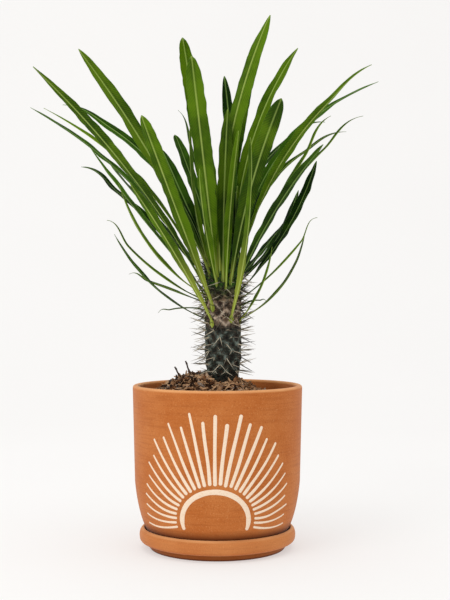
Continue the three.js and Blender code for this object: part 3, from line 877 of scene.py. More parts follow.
@dataclass
class Sunburst:
    """Painted half sun: an arch with rays fanned round it, each a raised stroke on the wall.

    Strokes are laid out on the unrolled wall, with u along the wall and z up. A point of the wall is
    at the angle u / radius. The rays start on an ellipse round the arch and end on a rounded outline,
    every other one of the upper rays a little shorter. The low rays sag between their ends.
    """

    pot: Pot
    centre_u: float = -1.5
    centre_z: float = 35.8
    arch_half_width: float = 28.4
    arch_half_height: float = 24.4
    arch_foot_z: float = 26.6
    arch_stroke: float = 4.5
    foot_slimming: float = 0.3
    ray_gap: float = 5.2
    ray_count: int = 29
    root_angle: float = -13.0
    tip_angle: float = -6.5
    reach_side: float = 70.0
    reach_top: float = 90.0
    reach_play: float = 0.03
    squareness: float = 2.6
    short_share: float = 0.92
    sag: float = 2.2
    wobble: float = 0.45
    narrow: float = 2.1
    broad: float = 3.0
    tip_share: float = 0.58
    blunt_gain: float = 0.48
    blunt_bearing: float = 78.0
    blunt_spread: float = 26.0
    thickness: float = 0.28
    sunk: float = 0.2
    rows: int = 40
    columns: int = 9
    seed: int = 29

    def ridge(self, path: Grid, half: Grid) -> Surface:
        """Lens-shaped stroke along a path on the unrolled wall.

        Across the stroke s runs from -1 to 1: the top stands thickness * sqrt(1 - s^2) off the wall
        and the underside lies sunk in it. Towards each end the half width falls as a half circle.

        Args:
            path: u and z of each row.
            half: half width of each row.

        Returns:
            The stroke as one closed body.
        """
        along = unit(np.gradient(path, axis=0))
        run = np.concatenate([[0.0], np.cumsum(np.linalg.norm(np.diff(path, axis=0), axis=1))])
        to_end = np.minimum(run, run[-1] - run)
        cap = np.sqrt(np.clip(1.0 - np.clip(1.0 - to_end / half, 0.0, 1.0) ** 2, 0.0004, 1.0))
        s = np.sin(np.linspace(-0.5, 0.5, self.columns) * np.pi)
        normal = np.stack([-along[:, 1], along[:, 0]], axis=-1)
        spread = path[:, None] + normal[:, None] * (half * cap)[:, None, None] * s[None, :, None]
        raised = self.thickness * cap[:, None] * np.sqrt(1.0 - s * s)[None, :]
        top = self.on_wall(spread, raised)
        under = self.on_wall(spread, np.full(raised.shape, -self.sunk))
        return closed_bodies(np.concatenate([top, under[:, ::-1]], axis=1)[None])

    def on_wall(self, flat: Grid, raised: Grid) -> Grid:
        """Rolls u and z on to the pot: x = r sin(u / R), y = -r cos(u / R), with r = R + raised.

        Args:
            flat: u and z of each point.
            raised: how far each point stands off the wall.

        Returns:
            The points on the pot.
        """
        wall = self.pot.radius_at(flat[..., 1])
        turn = flat[..., 0] / wall
        r = wall + raised
        return np.stack([r * np.sin(turn), -r * np.cos(turn), flat[..., 1]], axis=-1)

    def arch(self, centre: Grid, size: Grid) -> Surface:
        """Upper part of an ellipse: its stroke slims towards the feet and is a little uneven.

        Args:
            centre: u and z of the sun's middle.
            size: half width and half height of the ellipse.

        Returns:
            The stroke.
        """
        dip = math.asin((self.centre_z - self.arch_foot_z) / self.arch_half_height)
        angle = np.linspace(-dip, math.pi + dip, 3 * self.rows)
        path = centre + size * np.stack([np.cos(angle), np.sin(angle)], axis=-1)
        slim = 1.0 - self.foot_slimming * smoothstep(-np.sin(angle), 0.0, math.sin(dip))
        hand = slim * (0.94 + 0.06 * np.sin(angle) + 0.03 * waves(self.seed, 5, 2.0, 0.5, angle))
        return self.ridge(path, self.arch_stroke / 2.0 * hand)

    def ray(self, index: int, centre: Grid, size: Grid, draw: np.random.Generator) -> Surface:
        """One ray: a line from its root to its tip, plus the sag 4 share (1 - share) and a wobble.

        Its width falls in a straight line to the tip, less so for the nearly upright rays on the
        right, which end blunt.

        Args:
            index: the ray's number, from the right foot round to the left.
            centre: u and z of the sun's middle.
            size: half width and half height of the arch.
            draw: where the ray's small unevenness comes from.

        Returns:
            The stroke.
        """
        share = 0.5 - 0.5 * np.cos(np.linspace(0.0, np.pi, self.rows))
        step = index / (self.ray_count - 1)
        root = math.radians(self.root_angle + step * (180.0 - 2.0 * self.root_angle))
        bearing = math.radians(self.tip_angle + step * (180.0 - 2.0 * self.tip_angle))
        heading = np.array([math.cos(bearing), math.sin(bearing)])
        reach = np.sum(np.abs(heading / [self.reach_side, self.reach_top]) ** self.squareness)
        length = reach ** (-1.0 / self.squareness) * (1.0 + self.reach_play * draw.uniform(-1.0, 1.0))
        if index % 2:
            length *= 1.0 - (1.0 - self.short_share) * float(smoothstep(heading[1], 0.35, 0.75))
        gap = self.ray_gap + draw.uniform(-0.5, 0.5)
        start = centre + (size + gap) * [math.cos(root), math.sin(root)]
        line = start + (centre + heading * length - start) * share[:, None]
        bow = self.sag * abs(heading[0]) * 4.0 * share * (1.0 - share)
        wobble = self.wobble * draw.uniform(-1.0, 1.0) * np.sin(2.0 * np.pi * share * draw.uniform(0.6, 1.1))
        line = line + np.stack([wobble * heading[1], -bow - wobble * heading[0]], axis=-1)
        blunt = math.exp(-((math.degrees(bearing) - self.blunt_bearing) / self.blunt_spread) ** 2)
        width = self.narrow + (self.broad - self.narrow) * max(0.0, heading[1])
        tip = self.tip_share + self.blunt_gain * blunt + draw.uniform(-0.08, 0.08)
        hand = 1.0 + 0.04 * np.sin(7.0 * share + index)
        return self.ridge(line, width / 2.0 * (1.0 + (tip - 1.0) * share) * hand)

    def strokes(self) -> Iterator[Surface]:
        """The arch, then the rays from the right foot round to the left.

        Returns:
            Each stroke in turn.
        """
        draw = np.random.default_rng(self.seed)
        centre = np.array([self.centre_u, self.centre_z])
        size = np.array([self.arch_half_width, self.arch_half_height])
        yield self.arch(centre, size)
        for index in range(self.ray_count):
            yield self.ray(index, centre, size, draw)

    def build(self, paint: bpy.types.Material) -> None:
        """Joins the strokes into one piece of paint.

        Args:
            paint: the finish.
        """
        strokes = list(self.strokes())
        whole = strokes[0]
        for stroke in strokes[1:]:
            whole = whole.joined(stroke)
        make_piece("sunburst_paint", whole, paint, "cream_paint")


# ---- potting mix ----

@dataclass
class PottingMix:
    """Mounded bark mix that fills the pot, strewn with chips and coir threads."""

    pot: Pot
    edge_z: float = 132.0
    edge_r: float = 68.9
    mound: float = 19.0
    centre_x: float = -6.0
    mound_top_r: float = 28.0
    mound_foot_r: float = 61.0
    stem_x: float = 5.0
    stem_clear_r: float = 15.5
    steps: int = 160
    rings: int = 46
    right_drop: float = 8.5
    right_span: Span = (8.0, 30.0)
    left_drop: float = 4.6
    left_span: Span = (22.0, 46.0)
    hollow_depth: float = 6.5
    hollow_width: float = 10.0
    hollow_span: Span = (4.0, 15.0)
    wall_gap: float = 0.3
    foot_gap: float = 1.6
    bed_depth: float = 1.6
    bed_relief: float = 0.9
    chip_count: int = 3500
    chip_clear: float = 3.4
    chip_sides: int = 5
    chip_jog: float = 0.35
    chip_tilt: float = 0.45
    chip_lift: Span = (-0.9, 1.3)
    ash_share: float = 0.14
    thread_count: int = 150
    thread_clear: float = 14.0
    thread_length: Span = (5.0, 13.0)
    thread_bow: float = 2.5
    thread_arch: Span = (0.2, 2.0)
    thread_lift: float = 0.9
    thread_r: float = 0.17
    seed: int = 7

    def height(self, x: Grid, y: Grid) -> Grid:
        """Edge height plus the mound, which falls by a smooth step from its top to its foot.

        The mound settles towards both sides, and a hollow runs forward from the foot of the stem.

        Args:
            x: sideways places.
            y: places from front to back.

        Returns:
            The mix's height at each place, before it is roughened.
        """
        away = np.hypot(x - self.centre_x, y)
        mound = 1.0 - smoothstep(away, self.mound_top_r, self.mound_foot_r)
        settled = self.right_drop * smoothstep(x, *self.right_span) + \
            self.left_drop * smoothstep(-x, *self.left_span)
        before_stem = np.exp(-((x - self.stem_x) / self.hollow_width) ** 2)
        hollow = self.hollow_depth * before_stem * smoothstep(-y, *self.hollow_span)
        return self.edge_z + (self.mound - settled - hollow) * mound

    def bed(self) -> Surface:
        """Body of the mix under the chips, its top roughened by seeded waves.

        Returns:
            The body, with its tone.
        """
        wall = self.pot.wall_line(self.pot.wall + self.wall_gap, self.pot.foot_z + self.pot.wall,
                                  self.pot.floor_set_in + self.foot_gap, 12)
        side = np.concatenate([wall, bezier([tuple(wall[-1]), (self.edge_r, self.edge_z)], 6)[1:]])
        top_r = np.linspace(self.edge_r, 1.0, self.rings)[1:]
        profile = np.concatenate([side, np.stack([top_r, np.full(top_r.shape, self.edge_z)], axis=-1)])
        rings = turned(profile, self.steps)
        x, y = rings[..., 0], rings[..., 1]
        rough = self.bed_relief * waves(self.seed, 24, 9.0, 2.5, x, y)
        lifted = self.height(x, y) - self.bed_depth + rough
        on_top = np.arange(profile.shape[0])[None, :, None] >= len(side)
        rings[..., 2] = np.where(on_top, lifted, np.minimum(rings[..., 2], self.edge_z - 1.5))
        tone = 0.08 + 0.12 * waves(self.seed + 1, 20, 12.0, 3.0, x, y)
        return closed_bodies(rings, {"tone": tone, "ash": 0.0 * tone})

    def scatter(self, draw: np.random.Generator, count: int, edge: float) -> Grid:
        """Seeded places on the mound, even over its area, none of them inside the stem.

        Args:
            draw: where the places come from.
            count: how many are drawn, before those in the stem are left out.
            edge: how far out they go.

        Returns:
            The places that are kept.
        """
        radius = edge * np.sqrt(draw.uniform(0.0, 1.0, count))
        bearing = draw.uniform(0.0, 2.0 * np.pi, count)
        x, y = radius * np.cos(bearing), radius * np.sin(bearing)
        keep = np.hypot(x - self.stem_x, y) > self.stem_clear_r
        x, y = x[keep], y[keep]
        return np.stack([x, y, self.height(x, y)], axis=-1)

    def chips(self) -> Surface:
        """Flakes of three rings of five points, each jogged, stretched, tilted and set on the mound.

        Most flakes are small; a few coarse ones are up to 9 mm long. Tone runs from 0, wet, over 1,
        dry, and is darker on the left; ash greys one flake in seven.

        Returns:
            All the flakes as one surface, with tone and ash.
        """
        draw = np.random.default_rng(self.seed)
        place = self.scatter(draw, self.chip_count, self.edge_r - self.chip_clear)
        n = len(place)
        angle = np.linspace(0.0, 2.0 * np.pi, self.chip_sides, endpoint=False)
        station = np.array([-0.8, 0.0, 0.8])[:, None]
        girth = np.array([0.55, 1.0, 0.6])[:, None]
        flake = np.stack([station + 0.0 * angle, girth * np.cos(angle), girth * np.sin(angle)], axis=-1)
        coarse = draw.uniform(0.0, 1.0, n) ** 2.6
        half_length = 1.0 + 4.4 * coarse
        half_width = 0.65 + 2.6 * coarse * draw.uniform(0.4, 1.0, n)
        half_depth = 0.4 + 0.8 * draw.uniform(0.2, 1.0, n)
        size = np.stack([half_length, half_width, half_depth], axis=-1)
        jog = self.chip_jog * draw.uniform(-1.0, 1.0, (n, *flake.shape))
        shaped = flake * (1.0 + jog) * size[:, None, None]
        yaw = draw.uniform(0.0, 2.0 * np.pi, n)
        pitch, roll = draw.normal(0.0, self.chip_tilt, (2, n))
        spun = np.einsum("nij,nmkj->nmki", self.turns(yaw, pitch, roll), shaped)
        lift = draw.uniform(*self.chip_lift, n)
        rings = spun + place[:, None, None] + lift[:, None, None, None] * np.array([0.0, 0.0, 1.0])
        near_stem = 1.0 - smoothstep(np.hypot(place[:, 0] - self.stem_x, place[:, 1]), 15.0, 26.0)
        # Chips get darker towards the left.
        darker_to_left = 0.3 * smoothstep(-place[:, 0], 0.0, 30.0)
        dry = draw.normal(0.46, 0.52, n) + 0.3 * coarse + 0.05 * near_stem - darker_to_left
        tone = np.clip(dry, -0.25, 1.15)[:, None, None]
        ashen = draw.uniform(0.0, 1.0, n) > 1.0 - self.ash_share
        ash = np.where(ashen, draw.uniform(0.2, 0.7, n), 0.0)[:, None, None]
        spread = np.ones(rings.shape[:3])
        return closed_bodies(rings, {"tone": tone * spread, "ash": ash * spread})

    @staticmethod
    def turns(yaw: Grid, pitch: Grid, roll: Grid) -> Grid:
        """Turning matrices: roll about x, then pitch about y, then yaw about z.

        Args:
            yaw: n angles in radians.
            pitch: n angles.
            roll: n angles.

        Returns:
            Array of n by 3 by 3.
        """
        one, none = np.ones(len(yaw)), np.zeros(len(yaw))
        about_z = np.array([[np.cos(yaw), -np.sin(yaw), none], [np.sin(yaw), np.cos(yaw), none],
                            [none, none, one]])
        about_y = np.array([[np.cos(pitch), none, np.sin(pitch)], [none, one, none],
                            [-np.sin(pitch), none, np.cos(pitch)]])
        about_x = np.array([[one, none, none], [none, np.cos(roll), -np.sin(roll)],
                            [none, np.sin(roll), np.cos(roll)]])
        return np.einsum("ijn,jkn,kln->nil", about_z, about_y, about_x)

    def threads(self) -> Surface:
        """Coir threads that arch over the chips: a level run with a sideways and an upward bow.

        Returns:
            All the threads as one surface, with their tone.
        """
        draw = np.random.default_rng(self.seed + 5)
        start = self.scatter(draw, self.thread_count, self.edge_r - self.thread_clear)
        n = len(start)
        bearing = draw.uniform(0.0, 2.0 * np.pi, n)
        heading = np.stack([np.cos(bearing), np.sin(bearing)], axis=-1)
        t = np.linspace(0.0, 1.0, 7)
        run = draw.uniform(*self.thread_length, n)[:, None] * t
        side = draw.uniform(-self.thread_bow, self.thread_bow, n)[:, None] * np.sin(np.pi * t)
        x = start[:, :1] + heading[:, :1] * run - heading[:, 1:] * side
        y = start[:, 1:2] + heading[:, 1:] * run + heading[:, :1] * side
        arch = draw.uniform(*self.thread_arch, n)[:, None] * np.sin(np.pi * t)
        off_wall = np.hypot(x, y).max(axis=1) < self.edge_r - 2.0
        off_stem = np.hypot(x - self.stem_x, y).min(axis=1) > self.stem_clear_r
        path = np.stack([x, y, self.height(x, y) + self.thread_lift + arch], axis=-1)[off_wall & off_stem]
        rings = tubes(path, np.full(path.shape[:2], self.thread_r), 4)
        tone = np.broadcast_to(draw.uniform(0.5, 1.1, len(path))[:, None, None], rings.shape[:3])
        return closed_bodies(rings, {"tone": tone, "ash": 0.0 * tone})

    def build(self, bark: bpy.types.Material) -> None:
        """The bed, then its loose chips and threads.

        Args:
            bark: the finish.
        """
        make_piece("potting_mix_bed", self.bed(), bark, "potting_mix", "potting_mix")
        make_piece("bark_chips", self.chips(), bark, "potting_mix", "potting_mix")
        make_piece("coir_threads", self.threads(), bark, "potting_mix", "potting_mix")


@dataclass
class Twig:
    """Dry twig stuck in the mix: a tapering tube with a crook and knots."""

    name: str
    low: Place
    high: Place
    radius: float = 0.85
    thinning: float = 0.25
    crook: Place = (0.25, 0.1, 0.0)
    knots: tuple[float, ...] = (0.34, 0.63, 0.9)
    knot_swell: float = 0.28
    knot_length: float = 0.03

    def build(self, bark: bpy.types.Material) -> None:
        """Tube along the line with a small sideways crook; a knot swells the radius as a bell curve.

        Args:
            bark: the finish.
        """
        t = np.linspace(0.0, 1.0, 36)
        low, high = np.array(self.low), np.array(self.high)
        crook = np.array(self.crook) * np.sin(5.0 * np.pi * t)[:, None] * t[:, None]
        path = low + (high - low) * t[:, None] + crook
        swell = sum(self.knot_swell * np.exp(-((t - knot) / self.knot_length) ** 2) for knot in self.knots)
        radii = self.radius * (1.0 - self.thinning * t) + swell
        rings = tubes(path[None], radii[None], 12)
        make_piece(self.name + "_bark", closed_bodies(rings), bark, "twig", self.name)


# ---- stem ----

@dataclass
class Stem:
    """Thick stem covered in staggered tubercles, scarred below the crown and green at its top."""

    x: float = 5.0
    radius: float = 15.5
    foot_radius: float = 13.5
    foot_z: float = 118.0
    swells_from_z: float = 150.0
    swells_to_z: float = 172.0
    shoulder_z: float = 245.0
    top_z: float = 283.0
    relief: float = 1.1
    around: int = 9
    pitch: float = 12.0
    crests_from_z: float = 156.0
    fade_from_z: float = 186.0
    fade_to_z: float = 198.0
    crests_to_z: float = 240.0
    scar_rows: int = 3
    scars_from_z: float = 201.0
    scar_pitch: float = 8.5
    scars_around: int = 6
    scar_turn_play: float = 0.22
    scar_rise_play: float = 2.2
    scar_size: Span = (4.4, 8.4)
    scar_strength: Span = (0.15, 1.0)
    scar_relief: float = 0.8
    pit_depth: float = 0.6
    heart_from_z: float = 214.0
    cushions_around: int = 10
    cushion_pitch: float = 8.0
    cushion_relief: float = 0.9
    wrinkle_relief: float = 0.22
    wrinkle_r: float = 15.0
    steps: int = 216
    rows: int = 250
    seed: int = 11

    def radius_at(self, z: Grid | float) -> Grid:
        """Foot to body by a smooth step, times sqrt(1 - d^2), where d runs 0 to 1 up the domed top.

        Args:
            z: heights above the floor.

        Returns:
            The stem's radius at each height.
        """
        body = self.foot_radius + (self.radius - self.foot_radius) * \
            smoothstep(z, self.swells_from_z, self.swells_to_z)
        dome = np.clip((z - self.shoulder_z) / (self.top_z - self.shoulder_z), 0.0, 1.0)
        return body * np.sqrt(1.0 - dome * dome)

    def tubercle(self, angle: Grid, z: Grid) -> Grid:
        """Lattice 0.5 + 0.5 cos(9 a) cos(2 pi z / pitch), fading out under the crown.

        Args:
            angle: bearing of each point.
            z: height of each point.

        Returns:
            Share of the relief, from 0 in a furrow to 1 on a crest.
        """
        rise = 2.0 * np.pi * (z - self.crests_from_z) / self.pitch
        fade = 1.0 - smoothstep(z, self.fade_from_z, self.fade_to_z)
        start = smoothstep(z, self.crests_from_z - 5.0, self.crests_from_z)
        return start * fade * (0.5 + 0.5 * np.cos(self.around * angle) * np.cos(rise))

    def crests(self) -> tuple[Grid, Grid]:
        """Places of the tubercle crests, odd rows set half over.

        Returns:
            Bearing and height of each crest.
        """
        row = np.arange(int((self.crests_to_z - self.crests_from_z) / (self.pitch / 2.0)) + 1)[:, None]
        bearing = (np.arange(self.around) + row % 2 / 2.0) * 2.0 * np.pi / self.around
        height = self.crests_from_z + row * self.pitch / 2.0 + 0.0 * bearing
        return bearing.ravel(), height.ravel()

    def skin(self) -> Surface:
        """Grid of heights by angles: radius, plus tubercles, wrinkles and scars, less the pits.

        Returns:
            The skin, with crest, scar and pit.
        """
        buried = np.linspace(self.foot_z, self.swells_from_z - 2.0, 8)
        body = np.linspace(self.swells_from_z, self.shoulder_z, self.rows)
        climb = np.sin(np.linspace(0.0, 0.5, 30)[1:] * np.pi)
        dome = self.shoulder_z + (self.top_z - self.shoulder_z) * climb
        angle = np.linspace(0.0, 2.0 * np.pi, self.steps, endpoint=False)
        z, angle = np.meshgrid(np.concatenate([buried, body, dome]), angle, indexing="ij")
        crest = self.tubercle(angle, z)
        base = self.radius_at(z)
        round_x, round_y = self.wrinkle_r * np.cos(angle), self.wrinkle_r * np.sin(angle)
        wrinkle = waves(self.seed, 40, 7.0, 1.8, round_x, round_y, z)
        scar, pit = self.scars(angle, z)
        cushion = self.cushions(angle, z)
        skin = self.relief * np.maximum(crest, self.cushion_relief * cushion) + \
            self.wrinkle_relief * wrinkle + self.scar_relief * scar - self.pit_depth * pit
        r = np.maximum(base + skin * smoothstep(base, 2.0, 8.0), 0.05)
        ring = np.stack([self.x + r * np.cos(angle), r * np.sin(angle), z], axis=-1)
        values = {"crest": np.maximum(crest, cushion), "scar": scar, "pit": pit}
        return closed_bodies(ring[None], {name: grid[None] for name, grid in values.items()})

    def scars(self, angle: Grid, z: Grid) -> tuple[Grid, Grid]:
        """Old leaf scars below the crown: a pale V and the dark dry pit in it.

        With a across and u up from the scar's middle, both over its size, the V is the line
        u = 1.1 |a| - 1, from which the scar fades as a bell curve, and the pit is a bell a little
        under the middle. Odd rows are set half over, and each scar has a size and strength of its own.

        Args:
            angle: bearing of each point.
            z: height of each point.

        Returns:
            Strength of the V and of the pit, each from 0 to 1.
        """
        draw = np.random.default_rng(self.seed + 2)
        rows, columns = np.arange(self.scar_rows), np.arange(self.scars_around)
        row, column = (grid.ravel() for grid in np.meshgrid(rows, columns, indexing="ij"))
        n = len(row)
        bearing = (column + row % 2 / 2.0) * 2.0 * np.pi / self.scars_around + \
            draw.uniform(-self.scar_turn_play, self.scar_turn_play, n) - np.pi / 2.0
        height = self.scars_from_z + self.scar_pitch * row + \
            draw.uniform(-self.scar_rise_play, self.scar_rise_play, n)
        size = draw.uniform(*self.scar_size, n)
        strength = draw.uniform(*self.scar_strength, n)
        over = (angle[..., None] - bearing + np.pi) % (2.0 * np.pi) - np.pi
        across = np.abs(over * self.radius / size)
        upward = (z[..., None] - height) / (0.85 * size)
        band = np.exp(-((upward - 1.1 * across + 1.0) / 0.26) ** 2) * (1.0 - smoothstep(across, 0.85, 1.2))
        pit = np.exp(-((upward + 0.15) / 0.5) ** 2 - (across / 0.42) ** 2)
        return (band * strength).max(axis=-1), (pit * strength).max(axis=-1)

    def cushions(self, angle: Grid, z: Grid) -> Grid:
        """Green leaf cushions of the growing top: a finer lattice that fades in above the scars.

        Args:
            angle: bearing of each point.
            z: height of each point.

        Returns:
            Share of a cushion's relief, from 0 to 1.
        """
        rise = 2.0 * np.pi * (z - self.crests_from_z) / self.cushion_pitch
        start = smoothstep(z, self.heart_from_z - 8.0, self.heart_from_z + 6.0)
        return start * (0.5 + 0.5 * np.cos(self.cushions_around * angle + 0.4 * np.sin(z)) * np.cos(rise))

    def build(self, bark: bpy.types.Material) -> None:
        """The stem's skin in one piece."""
        make_piece("stem_skin", self.skin(), bark, "stem", "trunk")


@dataclass
class Spines:
    """Fan of spines at every tubercle crest of a stem, and bristles under its crown.

    Lengths and radii are in mm. Splay is sideways and rise is upward, both per unit outward.
    """

    stem: Stem
    splay: float = 0.66
    splay_play: Span = (0.25, 1.35)
    droop: Span = (-0.7, 0.35)
    droop_play: float = 0.15
    long_length: Span = (14.5, 17.0)
    long_r: Span = (0.42, 0.54)
    short_length: Span = (4.0, 15.0)
    short_rise: Span = (-0.5, 0.6)
    short_r: float = 0.3
    spine_bend: float = 0.35
    bristle_count: int = 900
    bristle_z: Span = (197.0, 256.0)
    bristle_splay: Span = (-0.5, 0.5)
    bristle_rise: Span = (-0.2, 0.9)
    bristle_length: Span = (5.0, 11.5)
    bristle_r: Span = (0.24, 0.34)
    bristle_bend: float = 0.9
    pale_share: float = 0.62
    pale_age: Span = (0.0, 0.2)
    dark_age: Span = (0.6, 0.95)
    bristle_age: Span = (0.75, 1.0)
    ageing: float = 0.4
    stations: tuple[float, ...] = (-0.08, 0.18, 0.45, 0.74, 0.985)
    sides: int = 5
    seed: int = 11

    def fans(self, draw: np.random.Generator) -> Grid:
        """Two long splayed spines and a short one at every crest.

        Args:
            draw: where their unevenness comes from.

        Returns:
            Six rows: bearing, height, splay, rise, length and root radius.
        """
        bearing, height = (np.repeat(row, 3) for row in self.stem.crests())
        n = len(bearing)
        kind = np.arange(n) % 3
        long = kind < 2
        side = np.where(kind == 0, 1.0, np.where(kind == 1, -1.0, draw.uniform(-0.5, 0.5, n)))
        splay = side * self.splay * draw.uniform(*self.splay_play, n)
        droop = np.repeat(draw.uniform(*self.droop, n // 3), 3)
        droop = droop + draw.uniform(-self.droop_play, self.droop_play, n)
        rise = np.where(long, droop, draw.uniform(*self.short_rise, n))
        length = np.where(long, draw.uniform(*self.long_length, n), draw.uniform(*self.short_length, n))
        thick = np.where(long, draw.uniform(*self.long_r, n), self.short_r)
        return np.stack([bearing, height, splay, rise, length, thick])

    def bristles(self, draw: np.random.Generator) -> Grid:
        """Bristles strewn evenly under the crown, in the same six rows as the fans."""
        spans = [(0.0, 2.0 * np.pi), self.bristle_z, self.bristle_splay, self.bristle_rise,
                 self.bristle_length, self.bristle_r]
        return np.stack([draw.uniform(*span, self.bristle_count) for span in spans])

    def surface(self, ribs: Grid, clear: Grid) -> Surface:
        """Tapering curved spines: root + heading * length * t + bow * t^2, radius thick * (1 - t)^0.6.

        Args:
            ribs: points along the leaves near the stem.
            clear: how far a spine stays from each of them; one that comes nearer is left out.

        Returns:
            All the spines as one surface, with an age from 0, pale, to 1, dark.
        """
        draw = np.random.default_rng(self.seed)
        table = np.concatenate([self.fans(draw), self.bristles(draw)], axis=1)
        bearing, height, splay, rise, length, thick = table
        n = len(bearing)
        bristle = np.arange(n) >= n - self.bristle_count
        outward = np.stack([np.cos(bearing), np.sin(bearing), np.zeros(n)], axis=-1)
        level = np.stack([-outward[:, 1], outward[:, 0], np.zeros(n)], axis=-1)
        heading = unit(outward + splay[:, None] * level + rise[:, None] * [0.0, 0.0, 1.0])
        radius = self.stem.radius_at(height)
        roots = np.stack([self.stem.x + radius * outward[:, 0], radius * outward[:, 1], height], axis=-1)
        bend = np.where(bristle, self.bristle_bend, self.spine_bend)
        bows = draw.normal(0.0, 1.0, (n, 3)) * bend[:, None]
        samples = roots[:, None] + heading[:, None] * (length[:, None] * [0.15, 0.4, 0.7, 1.0])[..., None]
        gap = np.linalg.norm(samples[:, :, None] - ribs[None, None], axis=-1) - clear
        keep = gap.reshape(n, -1).min(axis=1) > 0.0
        t = np.array(self.stations)
        path = roots[:, None] + heading[:, None] * (length[:, None] * t)[..., None] + \
            bows[:, None] * (t * t)[None, :, None]
        taper = np.clip(1.0 - t, 0.0, 1.0) ** 0.6
        rings = tubes(path[keep], thick[keep, None] * taper, self.sides)
        pale = draw.uniform(0.0, 1.0, n) < self.pale_share
        own = np.where(pale, draw.uniform(*self.pale_age, n), draw.uniform(*self.dark_age, n))
        own = np.where(bristle, draw.uniform(*self.bristle_age, n), own)[keep]
        towards_point = self.ageing * np.linspace(0.0, 1.0, len(t)) ** 1.2
        age = np.clip(own[:, None, None] + towards_point[None, :, None], 0.0, 1.0)
        return closed_bodies(rings, {"age": np.broadcast_to(age, rings.shape[:3])})

    def build(self, horn: bpy.types.Material, ribs: Grid, clear: Grid) -> None:
        """All the spines as one piece that stands for the stem's node."""
        make_piece("spines", self.surface(ribs, clear), horn, "stem", "trunk")


# ---- leaves ----

class TipForm(Enum):
    """Where along the blade the tip starts to narrow, and how full it stays (lower is fuller)."""

    ROUNDED = (0.68, 0.62)
    POINTED = (0.56, 0.85)
    FINE = (0.4, 1.0)
    BLUNT = (0.82, 0.5)


@dataclass(frozen=True)
class BladeForm:
    """Measures that all blades share.

    Stations run across half a blade, from 0 at the midrib to 1 at the edge. Fold, ripple, lean and
    edge wave are shares of the half width. Skin, flesh and rib sizes are mm. Spans are shares of the
    blade's length, from the seat to the tip.
    """

    stations: tuple[float, ...] = (0.05, 0.13, 0.26, 0.42, 0.6, 0.78, 0.93, 1.0)
    foot_rows: int = 7
    foot_length: float = 3.0
    foot_by_width: float = 0.45
    opens: Span = (-0.02, 0.44)
    stalk_share: float = 0.22
    turns: Span = (0.0, 0.68)
    twists: Span = (0.42, 0.85)
    flare: float = 0.5
    flare_by_yellow: float = 7.0
    fold: float = 0.2
    folds: Span = (0.0, 0.3)
    ripple: float = 0.09
    lean: float = 0.07
    edge_wave: float = 0.04
    skin: float = 0.3
    flesh: float = 0.5
    flesh_length: float = 16.0
    rib_width: float = 0.55
    rib_above: float = 0.22
    rib_below: float = 0.5


BLADE = BladeForm()


